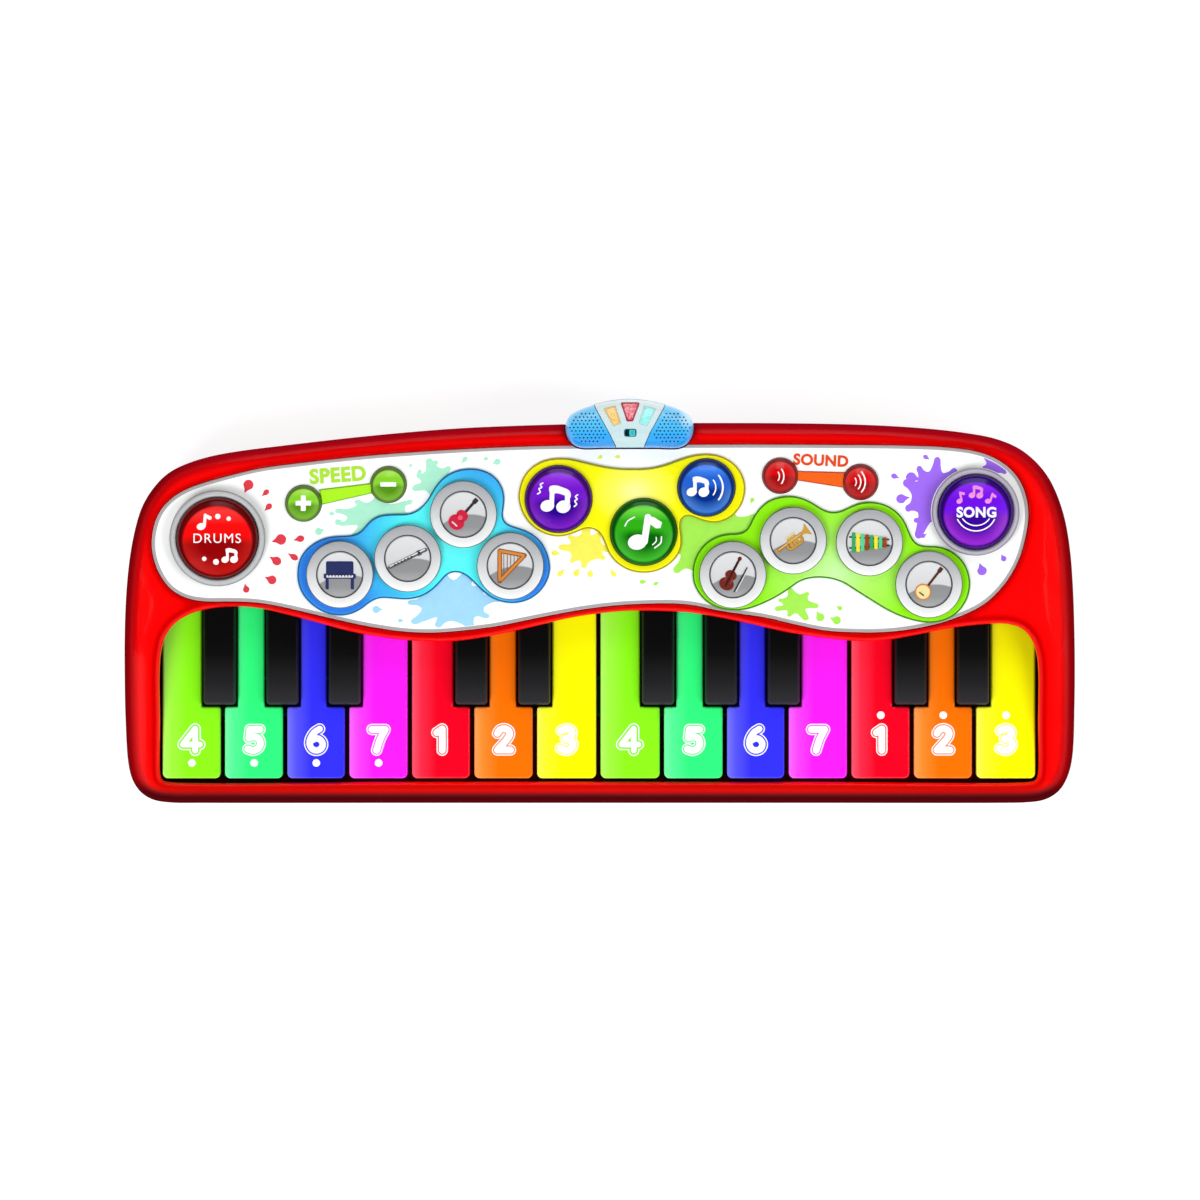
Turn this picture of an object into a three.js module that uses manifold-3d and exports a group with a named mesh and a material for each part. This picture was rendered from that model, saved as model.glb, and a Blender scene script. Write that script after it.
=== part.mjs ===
// Toy electronic keyboard: 24 keys, 17 push buttons and a light-and-speaker pod,
// in a two-part shell. Millimetres, +Z up, +Y towards the rear (pod side), +X to the right.
// The origin is the centre of the footprint, on the plane the feet rest on.
import * as THREE from 'three';
import { mergeVertices } from 'three/addons/utils/BufferGeometryUtils.js';
import Module from 'manifold-3d';

const wasm = await Module();
wasm.setup();

// ---------- driving dimensions ----------
const Z_FOOT = 0; // resting plane
const Z_FLOOR = 2; // underside of the bottom case
const Z_FLOOR_IN = 4.5; // inside of the floor
const Z_PARTING = 16; // joint between the two shells
const Z_TOP_CASE = Z_PARTING + 0.3; // lower edge of the top case
const Z_DECK_UNDER = 37.5;
const Z_POCKET = 39.8; // floor of the panel pocket
const Z_PANEL = [40, 41.5];
const Z_PLATE = [41.6, 43.2];
const Z_RIM = 42.5; // top of the deck and rim
const SLOPE_Y = -20; // in front of this line the side arms and front bar slope down
const SLOPE = 0.258; // fall per millimetre
const WALL = 2.6;
const BOTTOM_INSET = 0.4; // bottom case inside the outline of the top case

const BOSSES = [
  [-204, -62], [204, -62], [0, -86], [-202, 2.5], [203.4, 2.5], [-100, 66], [100, 66],
];
const BOSS_R = 2.9;
const FEET = [[-185, -66], [185, -66], [-165, 48], [165, 48]];
const BAY = { x: 28.2, y: [22.6, 69.4], top: 19, wall: 1.8, roof: 1.5 }; // x is half the width

const KEY_TOP = 28;
const SHARP_TOP = 32.5;
const KEY_BOTTOM = 16;
const KEY_HOLLOW = [KEY_BOTTOM - 1, KEY_TOP - 2.4]; // heights of the recess under a key
const KEY_WALL = 2;
const KEY_FRONT_Y = -79.74;
const SHARP_FRONT_Y = -46.89;
const STEP_Y = 0; // key bodies step down to their tails behind this line
const TAIL_TOP = 23.5;
const TAIL_END_Y = 19;
const KEY_GAP = 2; // between neighbouring natural keys
const NARROW_GAP = 0.6; // natural key to sharp key, side by side
const SHARP_W = 15.2;
const ROD = { y: 14, z: 19.75, r: 1.5, clear: 0.3, halfLength: 200 };
const POSTS = [[-200.5, -198.2], [-87.3, -83.8], [-2.3, 1.1], [110.7, 114.1], [198, 200.3]];

const HOLE_CLEAR = 0.3; // radial, button in its hole
const FLANGE = 0.6; // how far a button's flange stands out under the deck

const POD_Z = [24, 52];
const LENS_CLEAR = 0.3;
const SLIDER = { x: 13.7, y: 75.6, slotX: 5.6, slotY: 3.6, knobX: 2.8, knobY: 2.9, shift: 2.3 };
const SPEAKER_X = { left_speaker: -4.2, right_speaker: 31 };
const SPEAKER_Y = 78;
const GRILLE_HOLES = [ // from the speaker's centre
  [0, 0], [3.2, 0], [-3.2, 0], [1.6, 2.8], [-1.6, 2.8], [1.6, -2.8], [-1.6, -2.8],
];

const BOARD_Z = [25.5, 27.1];
const SHEET_Z = [27.3, 28.2];

const FAR = 300; // sideways reach of cutting bodies
const ABOVE = 100; // higher than everything

const COLOURS = {
  red: 0xe60a0e, white: 0xf6f8f6, blue: 0x2c9fe8, yellow: 0xfaf21a, green: 0x86e80c,
  podBlue: 0x35a8f2, podPale: 0xc9dbd8, lime: 0x8cf51c, mint: 0x33f582, royal: 0x3132f0,
  magenta: 0xf51ef5, keyRed: 0xf20226, orange: 0xf77205, keyYellow: 0xfafa04, black: 0x101012,
  buttonRed: 0xd40c10, violet: 0x6a10d8, buttonGreen: 0x2aa00c, buttonBlue: 0x1556d6,
  buttonLime: 0x62c408, silver: 0xd8dadd, steel: 0xb8bcc0, board: 0x1f6b3a,
  silicone: 0xcfd2cc, battery: 0x3a3f46, speaker: 0x26282b, teal: 0x20b4b4, lens: 0xf2f6f8,
};

// Domed buttons have a top height; the silver ones have none and are dished.
const domed = (x, y, radius, top, colour) => ({ x, y, radius, top, colour: COLOURS[colour] });
const dished = (x, y) => ({ x, y, radius: 14.85, colour: COLOURS.silver });
const BUTTONS = {
  rhythm: domed(-171.79, 28.3, 18.13, 49.6, 'buttonRed'),
  demo: domed(168.91, 40.18, 16.65, 49.6, 'violet'),
  tempo_up: domed(-133.18, 44.1, 8.05, 45.6, 'buttonLime'),
  tempo_down: domed(-95.02, 52.51, 8.05, 45.6, 'buttonLime'),
  volume_down: domed(81.11, 56.47, 7.92, 45.6, 'buttonRed'),
  volume_up: domed(117.16, 53.64, 7.92, 45.6, 'buttonRed'),
  piano: dished(-116.8, 12.01),
  flute: dished(-86.29, 19.26),
  guitar: dished(-61.27, 39.06),
  harp: dished(-40.21, 15.88),
  violin: dished(59.78, 11.93),
  trumpet: dished(86.92, 27.27),
  xylophone: dished(121.16, 26.41),
  banjo: dished(147.89, 7.6),
  record: domed(-18.52, 45.94, 15.03, 47.4, 'violet'),
  play: domed(19.73, 31.18, 15.03, 47.4, 'buttonGreen'),
  playback: domed(47.9, 51.12, 12.91, 47.2, 'buttonBlue'),
};
const COLLAR_R = { rhythm: 21.6, demo: 19.71 }; // raised rings on the control panel

// edges between the natural keys, left to right, and the sharp keys' centres
const KEY_BOUNDS_X = [
  -197.89, -169.85, -141.77, -113.83, -85.57, -57.49, -29.23, -0.61,
  28.01, 56.36, 84.17, 112.43, 140.6, 168.68, 197.21,
];
const SHARP_X = [
  -171.25, -142.9, -114.91, -57.85, -29.5, 26.3, 54.65, 82.82, 139.97, 168.14,
];
const SHARP_AFTER = [1, 2, 3, 5, 6, 8, 9, 10, 12, 13]; // natural key each sharp key follows

// ---------- measured outlines, x and y ----------
const CASE_OUTLINE = [
  [-179.89, -90.99], [-89.89, -90.99], [0.11, -90.99], [90.11, -90.99], [180.11, -90.99],
  [192.71, -90.77], [200.81, -89.64], [207.11, -85.82], [210.71, -79.97], [212.96, -71.42],
  [213.86, -44.42], [213.64, -17.42], [212.96, 5.08], [211.61, 23.08], [209.36, 36.58],
  [206.66, 45.58], [202.61, 54.58], [197.21, 61.78], [189.11, 68.53], [178.31, 73.12],
  [164.81, 75.73], [144.11, 77.98], [117.11, 79.47], [81.11, 80.14], [45.11, 80.23],
  [9.11, 80.1], [-26.89, 79.33], [-62.89, 77.85], [-89.89, 75.73], [-116.89, 73.03],
  [-143.89, 69.88], [-161.89, 67.63], [-175.39, 65.16], [-186.19, 61.78], [-194.74, 57.28],
  [-201.49, 50.08], [-205.99, 42.43], [-209.14, 32.08], [-211.39, 19.93], [-212.74, 7.33],
  [-213.5, -6.17], [-213.86, -26.42], [-213.64, -53.42], [-212.51, -73.67], [-210.71, -80.87],
  [-207.34, -86.04], [-201.94, -89.55], [-193.39, -90.86],
];
const PANEL_OUTLINE = [
  [-166.39, -0.32], [-154.69, -0.77], [-141.64, -3.02], [-128.14, -6.17], [-114.64, -9.32],
  [-101.14, -12.02], [-87.64, -13.91], [-75.49, -14.36], [-62.89, -13.5], [-47.14, -11.57],
  [-33.64, -8.87], [-20.14, -6.17], [-6.64, -3.78], [6.86, -2.12], [20.36, -1.35],
  [33.86, -1.22], [42.86, -2.12], [51.86, -4.14], [60.86, -5.54], [74.36, -7.52],
  [87.86, -10.67], [101.36, -13.37], [114.86, -14.18], [128.36, -14.04], [141.86, -12.47],
  [155.36, -9.32], [168.86, -3.92], [175.61, 0.58], [181.46, 6.66], [185.96, 13.18],
  [189.34, 20.38], [191.59, 28.48], [192.94, 36.58], [192.71, 43.33], [191.14, 49.63],
  [188.21, 55.71], [182.81, 61.33], [176.51, 65.16], [168.86, 67.72], [155.36, 69.52],
  [135.11, 70.33], [108.11, 70.6], [72.11, 70.78], [36.11, 70.69], [0.11, 70.42],
  [-26.89, 70.06], [-53.89, 69.07], [-80.89, 67.5], [-107.89, 65.38], [-134.89, 62.41],
  [-152.89, 59.98], [-167.29, 56.56], [-178.09, 53.55], [-186.19, 50.53], [-192.94, 46.26],
  [-197.89, 40.63], [-200.9, 32.98], [-201.71, 24.43], [-200.14, 16.78], [-196.99, 10.03],
  [-192.04, 4.41], [-185.29, 1.03], [-177.19, -0.32],
];
const KEY_OPENING = [
  [-195.19, -81.32], [-89.89, -81.32], [0.11, -81.32], [90.11, -81.32], [194.51, -81.32],
  [196.54, -80.64], [197.35, -78.62], [197.35, -53.42], [197.35, -31.82], [196.54, -24.17],
  [194.29, -17.42], [190.01, -12.47], [184.16, -10.4], [176.51, -10.12], [166.61, -10.85],
  [155.36, -12.47], [141.86, -15.17], [128.36, -17.51], [119.36, -18.05], [108.11, -17.32],
  [94.61, -15.62], [81.11, -13.23], [67.61, -10.12], [54.11, -7.29], [40.61, -5.17],
  [27.11, -4.37], [13.61, -4.37], [0.11, -5.4], [-13.39, -7.52], [-26.89, -10.67],
  [-40.39, -13.82], [-53.89, -16.43], [-65.14, -17.87], [-75.49, -18.09], [-87.64, -17.42],
  [-101.14, -15.71], [-114.64, -12.92], [-128.14, -9.22], [-141.64, -5.72], [-153.79, -3.02],
  [-163.69, -2.39], [-174.49, -3.15], [-183.49, -5.49], [-190.69, -9.77], [-195.19, -15.62],
  [-197.21, -22.82], [-197.98, -30.92], [-197.98, -53.42], [-197.98, -78.62], [-197.21, -80.64],
];
const POD_OUTLINE = [
  [-8.89, 69.03], [2.36, 68.98], [13.39, 68.98], [24.86, 68.98], [35.66, 69.03],
  [39.04, 70.56], [41.33, 73.48], [42.23, 77.31], [41.78, 80.91], [39.94, 83.83],
  [36.11, 85.99], [31.16, 87.88], [25.63, 89.41], [19.91, 90.49], [13.39, 90.99],
  [6.86, 90.49], [1.15, 89.41], [-4.39, 87.88], [-9.34, 85.99], [-13.16, 83.83],
  [-15.01, 80.91], [-15.46, 77.31], [-14.56, 73.48], [-12.26, 70.56],
];
const POD_CENTRE = [
  [7.22, 67.18], [20, 67.18], [20.09, 69.88], [22.48, 75.42], [25.63, 81.13], [28.69, 86.76],
  [30.71, 92.38], [-3.94, 92.38], [-1.91, 86.76], [1.15, 81.13], [4.3, 75.42], [7.13, 69.88],
];
const BLUE_PLATE = [
  [-136.06, 12.19], [-135.34, 17.86], [-132.91, 22.41], [-128.86, 26.05], [-123.86, 28.48],
  [-118.24, 29.48], [-112.39, 29.7], [-108.2, 30.91], [-105.37, 33.98], [-102.71, 36.76],
  [-98.66, 38.74], [-92.41, 39.33], [-85.39, 39.64], [-80.89, 41.98], [-77.42, 45.81],
  [-74.59, 50.67], [-70.54, 55.53], [-65.59, 58.54], [-59.2, 59.8], [-53.44, 59.31],
  [-47.86, 56.74], [-43.99, 51.88], [-42.73, 46.62], [-43.18, 41.8], [-43.54, 37.75],
  [-41.74, 34.96], [-37.33, 33.34], [-31.66, 31.23], [-26.17, 26.78], [-23.02, 20.29],
  [-22.21, 14.62], [-23.65, 8.86], [-27.61, 3.46], [-33.64, -0.05], [-40.16, -0.9],
  [-46.24, 0.31], [-51.1, 3.19], [-55.15, 6.88], [-59.2, 10.84], [-62.44, 12.73],
  [-65.68, 13.09], [-68.92, 11.65], [-72.16, 7.96], [-76.21, 4.28], [-81.07, 1.75],
  [-86.74, 0.76], [-93.22, 1.17], [-98.89, 1.39], [-102.94, -0.32], [-106.99, -3.47],
  [-111.85, -5.81], [-116.71, -6.53], [-123.19, -5.36], [-128.86, -2.07], [-133.45, 2.83],
  [-135.52, 7.6],
];
const YELLOW_PLATE = [
  [-36.65, 46.03], [-36.2, 50.98], [-34.45, 55.93], [-31.16, 59.98], [-25.99, 63.13],
  [-19.69, 64.48], [-12.8, 64.17], [-6.64, 62.77], [0.2, 61.2], [7.31, 60.07],
  [15.41, 59.76], [23.06, 60.16], [30.04, 61.87], [36.11, 64.12], [41.74, 65.74],
  [48.4, 66.42], [55.28, 65.11], [61.13, 61.33], [64.64, 55.8], [65.54, 50.04],
  [63.79, 43.33], [59.51, 38.16], [53.21, 35.33], [47.14, 35.82], [42.41, 37.66],
  [39.26, 38.48], [36.97, 37.21], [36.34, 33.66], [36.97, 29.03], [36.83, 24.43],
  [34.72, 19.93], [30.8, 16.15], [25.76, 13.63], [20.09, 12.73], [13.84, 13.63],
  [8.21, 16.65], [4.16, 21.28], [2, 26.46], [0.02, 30.46], [-3.04, 32.53],
  [-6.64, 32.62], [-10.01, 31.18], [-14.29, 29.65], [-19.24, 29.03], [-25.09, 30.46],
  [-30.71, 33.98], [-34.63, 39.28],
];
const GREEN_PLATE = [
  [41.6, 12.1], [42.23, 17.68], [44.66, 22.9], [48.71, 27.13], [53.66, 29.65],
  [58.61, 30.55], [63.11, 30.73], [65.9, 32.26], [67.43, 34.78], [69.05, 38.16],
  [71.57, 41.8], [75.71, 45.31], [81.11, 47.11], [86.51, 47.47], [91.91, 46.21],
  [96.19, 44.05], [100.01, 41.62], [103.61, 40.27], [107.66, 40.54], [112.16, 42.52],
  [117.11, 44.41], [122.51, 44.82], [127.91, 43.69], [132.41, 41.26], [136.19, 37.48],
  [138.53, 32.98], [140.33, 28.66], [142.94, 25.69], [146.81, 24.98], [152.66, 24.7],
  [158.06, 22.73], [162.74, 18.85], [165.71, 13.36], [166.61, 7.51], [165.17, 1.03],
  [161.12, -5], [154.91, -8.69], [147.94, -9.77], [141.41, -8.78], [135.11, -6.8],
  [128.81, -3.83], [121.61, 0.58], [114.86, 4.81], [109.46, 8.23], [104.51, 9.94],
  [99.11, 10.58], [93.71, 10.12], [89.66, 8.68], [85.84, 5.98], [80.66, 2.56],
  [75.71, -0.05], [70.99, -2.12], [65.81, -3.74], [59.74, -4.19], [53.57, -3.2],
  [47.99, -0.32], [43.94, 4.28], [42.05, 8.41],
];
const LENS_WINDOWS = [
  [[9.29, 89.41], [18.16, 89.41], [14.92, 80.68], [12.08, 80.68]], // middle
  [[1.6, 86.53], [7.0, 87.88], [9.65, 79.74], [5.96, 78.61]], // left
  [[20.05, 87.88], [25.45, 86.53], [21.17, 78.61], [17.48, 79.74]], // right
];
const LIME_WEDGE = [[-125.89, 50.08], [-102.62, 52.92], [-102.62, 48.73], [-124.76, 43.69]];
const ORANGE_WEDGE = [[88.76, 58.36], [109.91, 57.82], [109.91, 51.25], [88.76, 54.58]];

// ---------- curve helpers ----------
// Turn at q on the way from p to r, in degrees.
function turnAt(p, q, r) {
  const [ux, uy] = [q[0] - p[0], q[1] - p[1]];
  const [vx, vy] = [r[0] - q[0], r[1] - q[1]];
  return Math.abs(Math.atan2(ux * vy - uy * vx, ux * vx + uy * vy)) * 180 / Math.PI;
}

// A closed smooth curve through the points, with more samples where it turns.
function smooth(points, fine = 3, angle = 14) {
  const n = points.length;
  const vectors = points.map(([x, y]) => new THREE.Vector3(x, y, 0));
  const curve = new THREE.CatmullRomCurve3(vectors, true, 'centripetal');
  const out = [];
  for (let i = 0; i < n; i++) {
    const [before, start, end, after] = [n - 1, 0, 1, 2].map((k) => points[(i + k) % n]);
    const turn = Math.max(turnAt(before, start, end), turnAt(start, end, after));
    const steps = turn > 2.2 * angle ? fine : turn > angle ? Math.max(1, fine - 1) : 1;
    for (let s = 0; s < steps; s++) {
      const p = curve.getPoint((i + s / steps) / n);
      out.push([p.x, p.y]);
    }
  }
  return out;
}

function distanceToLine([x, y], [ax, ay], [bx, by]) {
  const cross = (bx - ax) * (ay - y) - (ax - x) * (by - ay);
  return Math.abs(cross) / Math.max(1e-9, Math.hypot(bx - ax, by - ay));
}

// Drops points of a closed curve that lie within tolerance of the line between those kept.
function simplify(points, tolerance) {
  const keep = (run) => {
    let far = 0;
    let at = -1;
    for (let i = 1; i < run.length - 1; i++) {
      const d = distanceToLine(run[i], run[0], run[run.length - 1]);
      if (d > far) [far, at] = [d, i];
    }
    return far <= tolerance ? [run[0]] : [...keep(run.slice(0, at + 1)), ...keep(run.slice(at))];
  };
  const half = Math.floor(points.length / 2);
  return [...keep(points.slice(0, half + 1)), ...keep([...points.slice(half), points[0]])];
}

// Signed area, positive when anticlockwise.
function area(points) {
  return points.reduce((sum, [x, y], i) => {
    const [u, v] = points[(i + 1) % points.length];
    return sum + (x * v - u * y) / 2;
  }, 0);
}

// Moves each edge of a closed curve outwards by d (inwards if negative), with mitred corners.
function offset(points, d) {
  const ring = area(points) < 0 ? [...points].reverse() : points;
  const n = ring.length;
  return ring.map(([x, y], i) => {
    const [ax, ay] = ring[(i + n - 1) % n];
    const [bx, by] = ring[(i + 1) % n];
    const before = Math.hypot(x - ax, y - ay);
    const after = Math.hypot(bx - x, by - y);
    // sum of the two edges' outward normals
    const mx = (y - ay) / before + (by - y) / after;
    const my = -(x - ax) / before - (bx - x) / after;
    const k = (2 * d) / Math.max(0.5, mx * mx + my * my);
    return [x + mx * k, y + my * k];
  });
}

// A circle's corners, in step with those of a turned piece of n sides.
function circle(x, y, r, n) {
  return Array.from({ length: n }, (_, i) => {
    const angle = (2 * Math.PI * i) / n;
    return [x + r * Math.sin(angle), y - r * Math.cos(angle)];
  });
}

// ---------- solid helpers ----------
const solidFrom = (vertProperties, triVerts) =>
  new wasm.Manifold(new wasm.Mesh({ numProp: 3, vertProperties, triVerts }));

function solid(geometry) {
  geometry.deleteAttribute('normal');
  geometry.deleteAttribute('uv');
  const m = mergeVertices(geometry, 1e-4);
  return solidFrom(new Float32Array(m.attributes.position.array), new Uint32Array(m.index.array));
}

// Applies change(vertices, start of a vertex) to every vertex.
function reshaped(manifold, change) {
  const m = manifold.getMesh();
  const v = new Float32Array(m.vertProperties);
  for (let i = 0; i < v.length; i += 3) change(v, i);
  return solidFrom(v, new Uint32Array(m.triVerts));
}

function geometryOf(manifold) {
  const m = manifold.getMesh();
  const v = new Float32Array(m.vertProperties);
  const g = new THREE.BufferGeometry();
  g.setAttribute('position', new THREE.BufferAttribute(v, 3));
  g.setIndex(new THREE.BufferAttribute(new Uint32Array(m.triVerts), 1));
  g.computeVertexNormals();
  return g;
}

function extruded(points, z, options) {
  const shape = new THREE.Shape(points.map(([x, y]) => new THREE.Vector2(x, y)));
  return solid(new THREE.ExtrudeGeometry(shape, { steps: 1, ...options }).translate(0, 0, z));
}

const prism = (points, z0, z1) => extruded(points, z0, { depth: z1 - z0, bevelEnabled: false });

// A prism with both end edges rounded over, size wide and drop deep.
function domedPrism(points, z0, z1, { size, drop, segments }) {
  return extruded(points, z0 + drop, {
    depth: z1 - z0 - 2 * drop,
    bevelEnabled: true,
    bevelSize: size,
    bevelThickness: drop,
    bevelOffset: -size,
    bevelSegments: segments,
  });
}

function box([x0, x1], [y0, y1], [z0, z1]) {
  const g = new THREE.BoxGeometry(x1 - x0, y1 - y0, z1 - z0);
  return solid(g.translate((x0 + x1) / 2, (y0 + y1) / 2, (z0 + z1) / 2));
}

const around = (centre, width) => [centre - width / 2, centre + width / 2];

const disc = (x, y, r, n, z0, z1) => prism(circle(x, y, r, n), z0, z1);

// Solid of revolution about a vertical axis through x, y; the profile is radius and z.
function turned(x, y, profile, n) {
  const g = new THREE.LatheGeometry(profile.map(([r, z]) => new THREE.Vector2(r, z)), n);
  return solid(g.rotateX(Math.PI / 2).translate(x, y, 0));
}

// A bar along X with n sides.
function barX(x0, x1, y, z, r, n) {
  const g = new THREE.CylinderGeometry(r, r, x1 - x0, n);
  return solid(g.rotateZ(Math.PI / 2).translate((x0 + x1) / 2, y, z));
}

// A body whose top is flat behind SLOPE_Y and slopes down in front of it.
function wedge(manifold) {
  const sloped = reshaped(manifold, (v, i) => {
    v[i + 2] += SLOPE * (v[i + 1] - SLOPE_Y);
  });
  const rear = manifold.intersect(box([-FAR, FAR], [SLOPE_Y, FAR], [-200, 200]));
  const front = sloped.intersect(box([-FAR, FAR], [-FAR, SLOPE_Y + 0.01], [-200, 200]));
  return rear.add(front);
}

// Turns a body over about the X axis.
const turnedOver = (manifold) => reshaped(manifold, (v, i) => {
  v[i + 1] *= -1;
  v[i + 2] *= -1;
});

const buttonSides = (r) => (r > 10 ? 14 : 10);

function drillButtonHoles(body, names = Object.keys(BUTTONS)) {
  return names.reduce((drilled, name) => {
    const { x, y, radius } = BUTTONS[name];
    return drilled.subtract(disc(x, y, radius + HOLE_CLEAR, buttonSides(radius), 30, ABOVE));
  }, body);
}

const root = new THREE.Group();

function piece(name, manifold, color, { roughness = 0.35, metalness = 0 } = {}) {
  const material = new THREE.MeshStandardMaterial({ color, roughness, metalness });
  const mesh = new THREE.Mesh(geometryOf(manifold), material);
  mesh.name = name;
  root.add(mesh);
}

const BOARD_FINISH = { roughness: 0.5 };
const SILICONE_FINISH = { roughness: 0.8 };

// ---------- working outlines ----------
const caseLine = simplify(smooth(CASE_OUTLINE, 2, 12), 0.35);
const panelLine = simplify(smooth(PANEL_OUTLINE, 2, 16), 0.32);
const openingLine = simplify(smooth(KEY_OPENING, 2, 20), 0.32);
const podLine = simplify(smooth(POD_OUTLINE, 2, 24), 0.1);
const lensLines = LENS_WINDOWS.map((window) => offset(window, -0.35));

// ---------- speaker pod ----------
const POD_DOME = { size: 5, drop: 7, segments: 3 };
const podClip = (y1, z0) => box([-60, 80], [40, y1], [z0, ABOVE]);
const podOuter = domedPrism(podLine, 10, POD_Z[1], POD_DOME).intersect(podClip(120, POD_Z[0]));

// The pod's solid core, inset from its skin.
const podCore = (inset) => domedPrism(
  offset(podLine, -inset), 8, POD_Z[1] - inset, { size: 4.4, drop: 6.4, segments: 2 },
);

// Cuts the lens windows and the slider slot upwards from the given heights.
function cutPodOpenings(body, lensZ, slotZ) {
  let cut = body;
  for (const line of lensLines) cut = cut.subtract(prism(offset(line, LENS_CLEAR), lensZ, ABOVE));
  const { x, y, slotX, slotY } = SLIDER;
  return cut.subtract(box(around(x, slotX), around(y, slotY), [slotZ, ABOVE]));
}

function podShell() {
  const cavity = domedPrism(offset(podLine, -WALL), 10, 48.6, { size: 3.6, drop: 5, segments: 2 });
  const cableWay = box([-8, 34], [60, 72.6], [26.2, 36]);
  const centreSeat = prism(offset(POD_CENTRE, 0.25), 24.6, ABOVE).subtract(podCore(1.5));
  let shell = podOuter.subtract(cavity.intersect(podClip(120, 26.2)));
  shell = cutPodOpenings(shell.subtract(cableWay).subtract(centreSeat), 44.5, 46);
  for (const x of Object.values(SPEAKER_X)) {
    for (const [dx, dy] of GRILLE_HOLES) {
      shell = shell.subtract(disc(x + dx, SPEAKER_Y + dy, 0.75, 4, 44, ABOVE));
    }
  }
  // ledge that holds the pod under the deck
  const ledge = prism(offset(podLine, 2.2), 35.2, 37.2)
    .intersect(podClip(76.5, 0))
    .subtract(prism(offset(podLine, -1), 30, 40));
  return shell.add(ledge);
}
piece('pod_shell', podShell(), COLOURS.podBlue);

function podCentrePanel() {
  const panel = podOuter.intersect(prism(POD_CENTRE, 42.9, ABOVE)).subtract(podCore(1.25));
  return cutPodOpenings(panel, 30, 44);
}
piece('pod_center_panel', podCentrePanel(), COLOURS.podPale, { roughness: 0.45 });

// One clear moulding: three windows that follow the dome, joined by a web inside.
function lampLens() {
  const dome = domedPrism(offset(podLine, 0.3), 10, POD_Z[1] + 0.5, POD_DOME);
  let lens = box([3.4, 24], [80.2, 84.4], [45.2, 46.6]);
  for (const line of lensLines) lens = lens.add(prism(line, 45.2, 60).intersect(dome));
  return lens;
}
piece('lamp_lens', lampLens(), COLOURS.lens, { roughness: 0.1 });

// A knob towards the right of its slot, on a wider plate inside the pod.
function powerSlider() {
  const { x, y, knobX, knobY, shift } = SLIDER;
  const knob = box([x + shift - knobX, x + shift], around(y, knobY), [47, 52.6]);
  return knob.add(box([x - 1.6, x + 4.2], [73.6, 78.2], [46.4, 47.6]));
}
piece('power_slider', powerSlider(), COLOURS.teal);

const SPEAKER_PROFILE = [
  [0, 36], [3.2, 36], [3.2, 38], [6.4, 40.4], [6.4, 42], [5.4, 42], [0, 41.2],
];
for (const [name, x] of Object.entries(SPEAKER_X)) {
  piece(name, turned(x, SPEAKER_Y, SPEAKER_PROFILE, 12), COLOURS.speaker);
}

// ---------- shells ----------
function topCase() {
  let shell = wedge(domedPrism(caseLine, -90, Z_RIM, { size: 4, drop: 5, segments: 3 }))
    .intersect(box([-FAR, FAR], [-FAR, FAR], [Z_TOP_CASE, ABOVE]))
    .subtract(wedge(prism(offset(caseLine, -WALL), -80, Z_DECK_UNDER)));
  const bossLimit = wedge(prism(offset(caseLine, -1), -80, Z_DECK_UNDER + 2));
  for (const [x, y] of BOSSES) {
    const top = Z_DECK_UNDER + Math.min(0, SLOPE * (y + 2 - SLOPE_Y)) + 1.2;
    shell = shell
      .add(disc(x, y, BOSS_R, 8, Z_TOP_CASE, top).intersect(bossLimit))
      .subtract(disc(x, y, 1.1, 6, 0, top - 3.5));
  }
  shell = shell.subtract(prism(openingLine, -100, ABOVE));
  shell = shell.subtract(prism(panelLine, Z_POCKET, ABOVE));
  return drillButtonHoles(shell)
    .subtract(prism(offset(podLine, 0.35), POD_Z[0] - 0.35, ABOVE));
}
piece('top_case', topCase(), COLOURS.red, { roughness: 0.22 });

// The tray and the lip that stands up inside the top case.
function bottomTray() {
  const line = offset(caseLine, -BOTTOM_INSET);
  // built upside down so that its rounded edge ends up at the floor
  const mirrored = line.map(([x, y]) => [x, -y]).reverse();
  const rounding = { size: 2.4, drop: 2.2, segments: 2 };
  const lip = prism(offset(caseLine, -WALL - 0.35), Z_PARTING - 3, Z_PARTING + 2)
    .subtract(prism(offset(caseLine, -WALL - 1.7), Z_PARTING - 4, Z_PARTING + 4));
  return turnedOver(domedPrism(mirrored, -Z_PARTING, -Z_FLOOR, rounding))
    .add(prism(line, Z_FLOOR + rounding.drop, Z_PARTING))
    .subtract(prism(offset(caseLine, -BOTTOM_INSET - WALL), Z_FLOOR_IN, 60))
    .add(lip);
}

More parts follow.
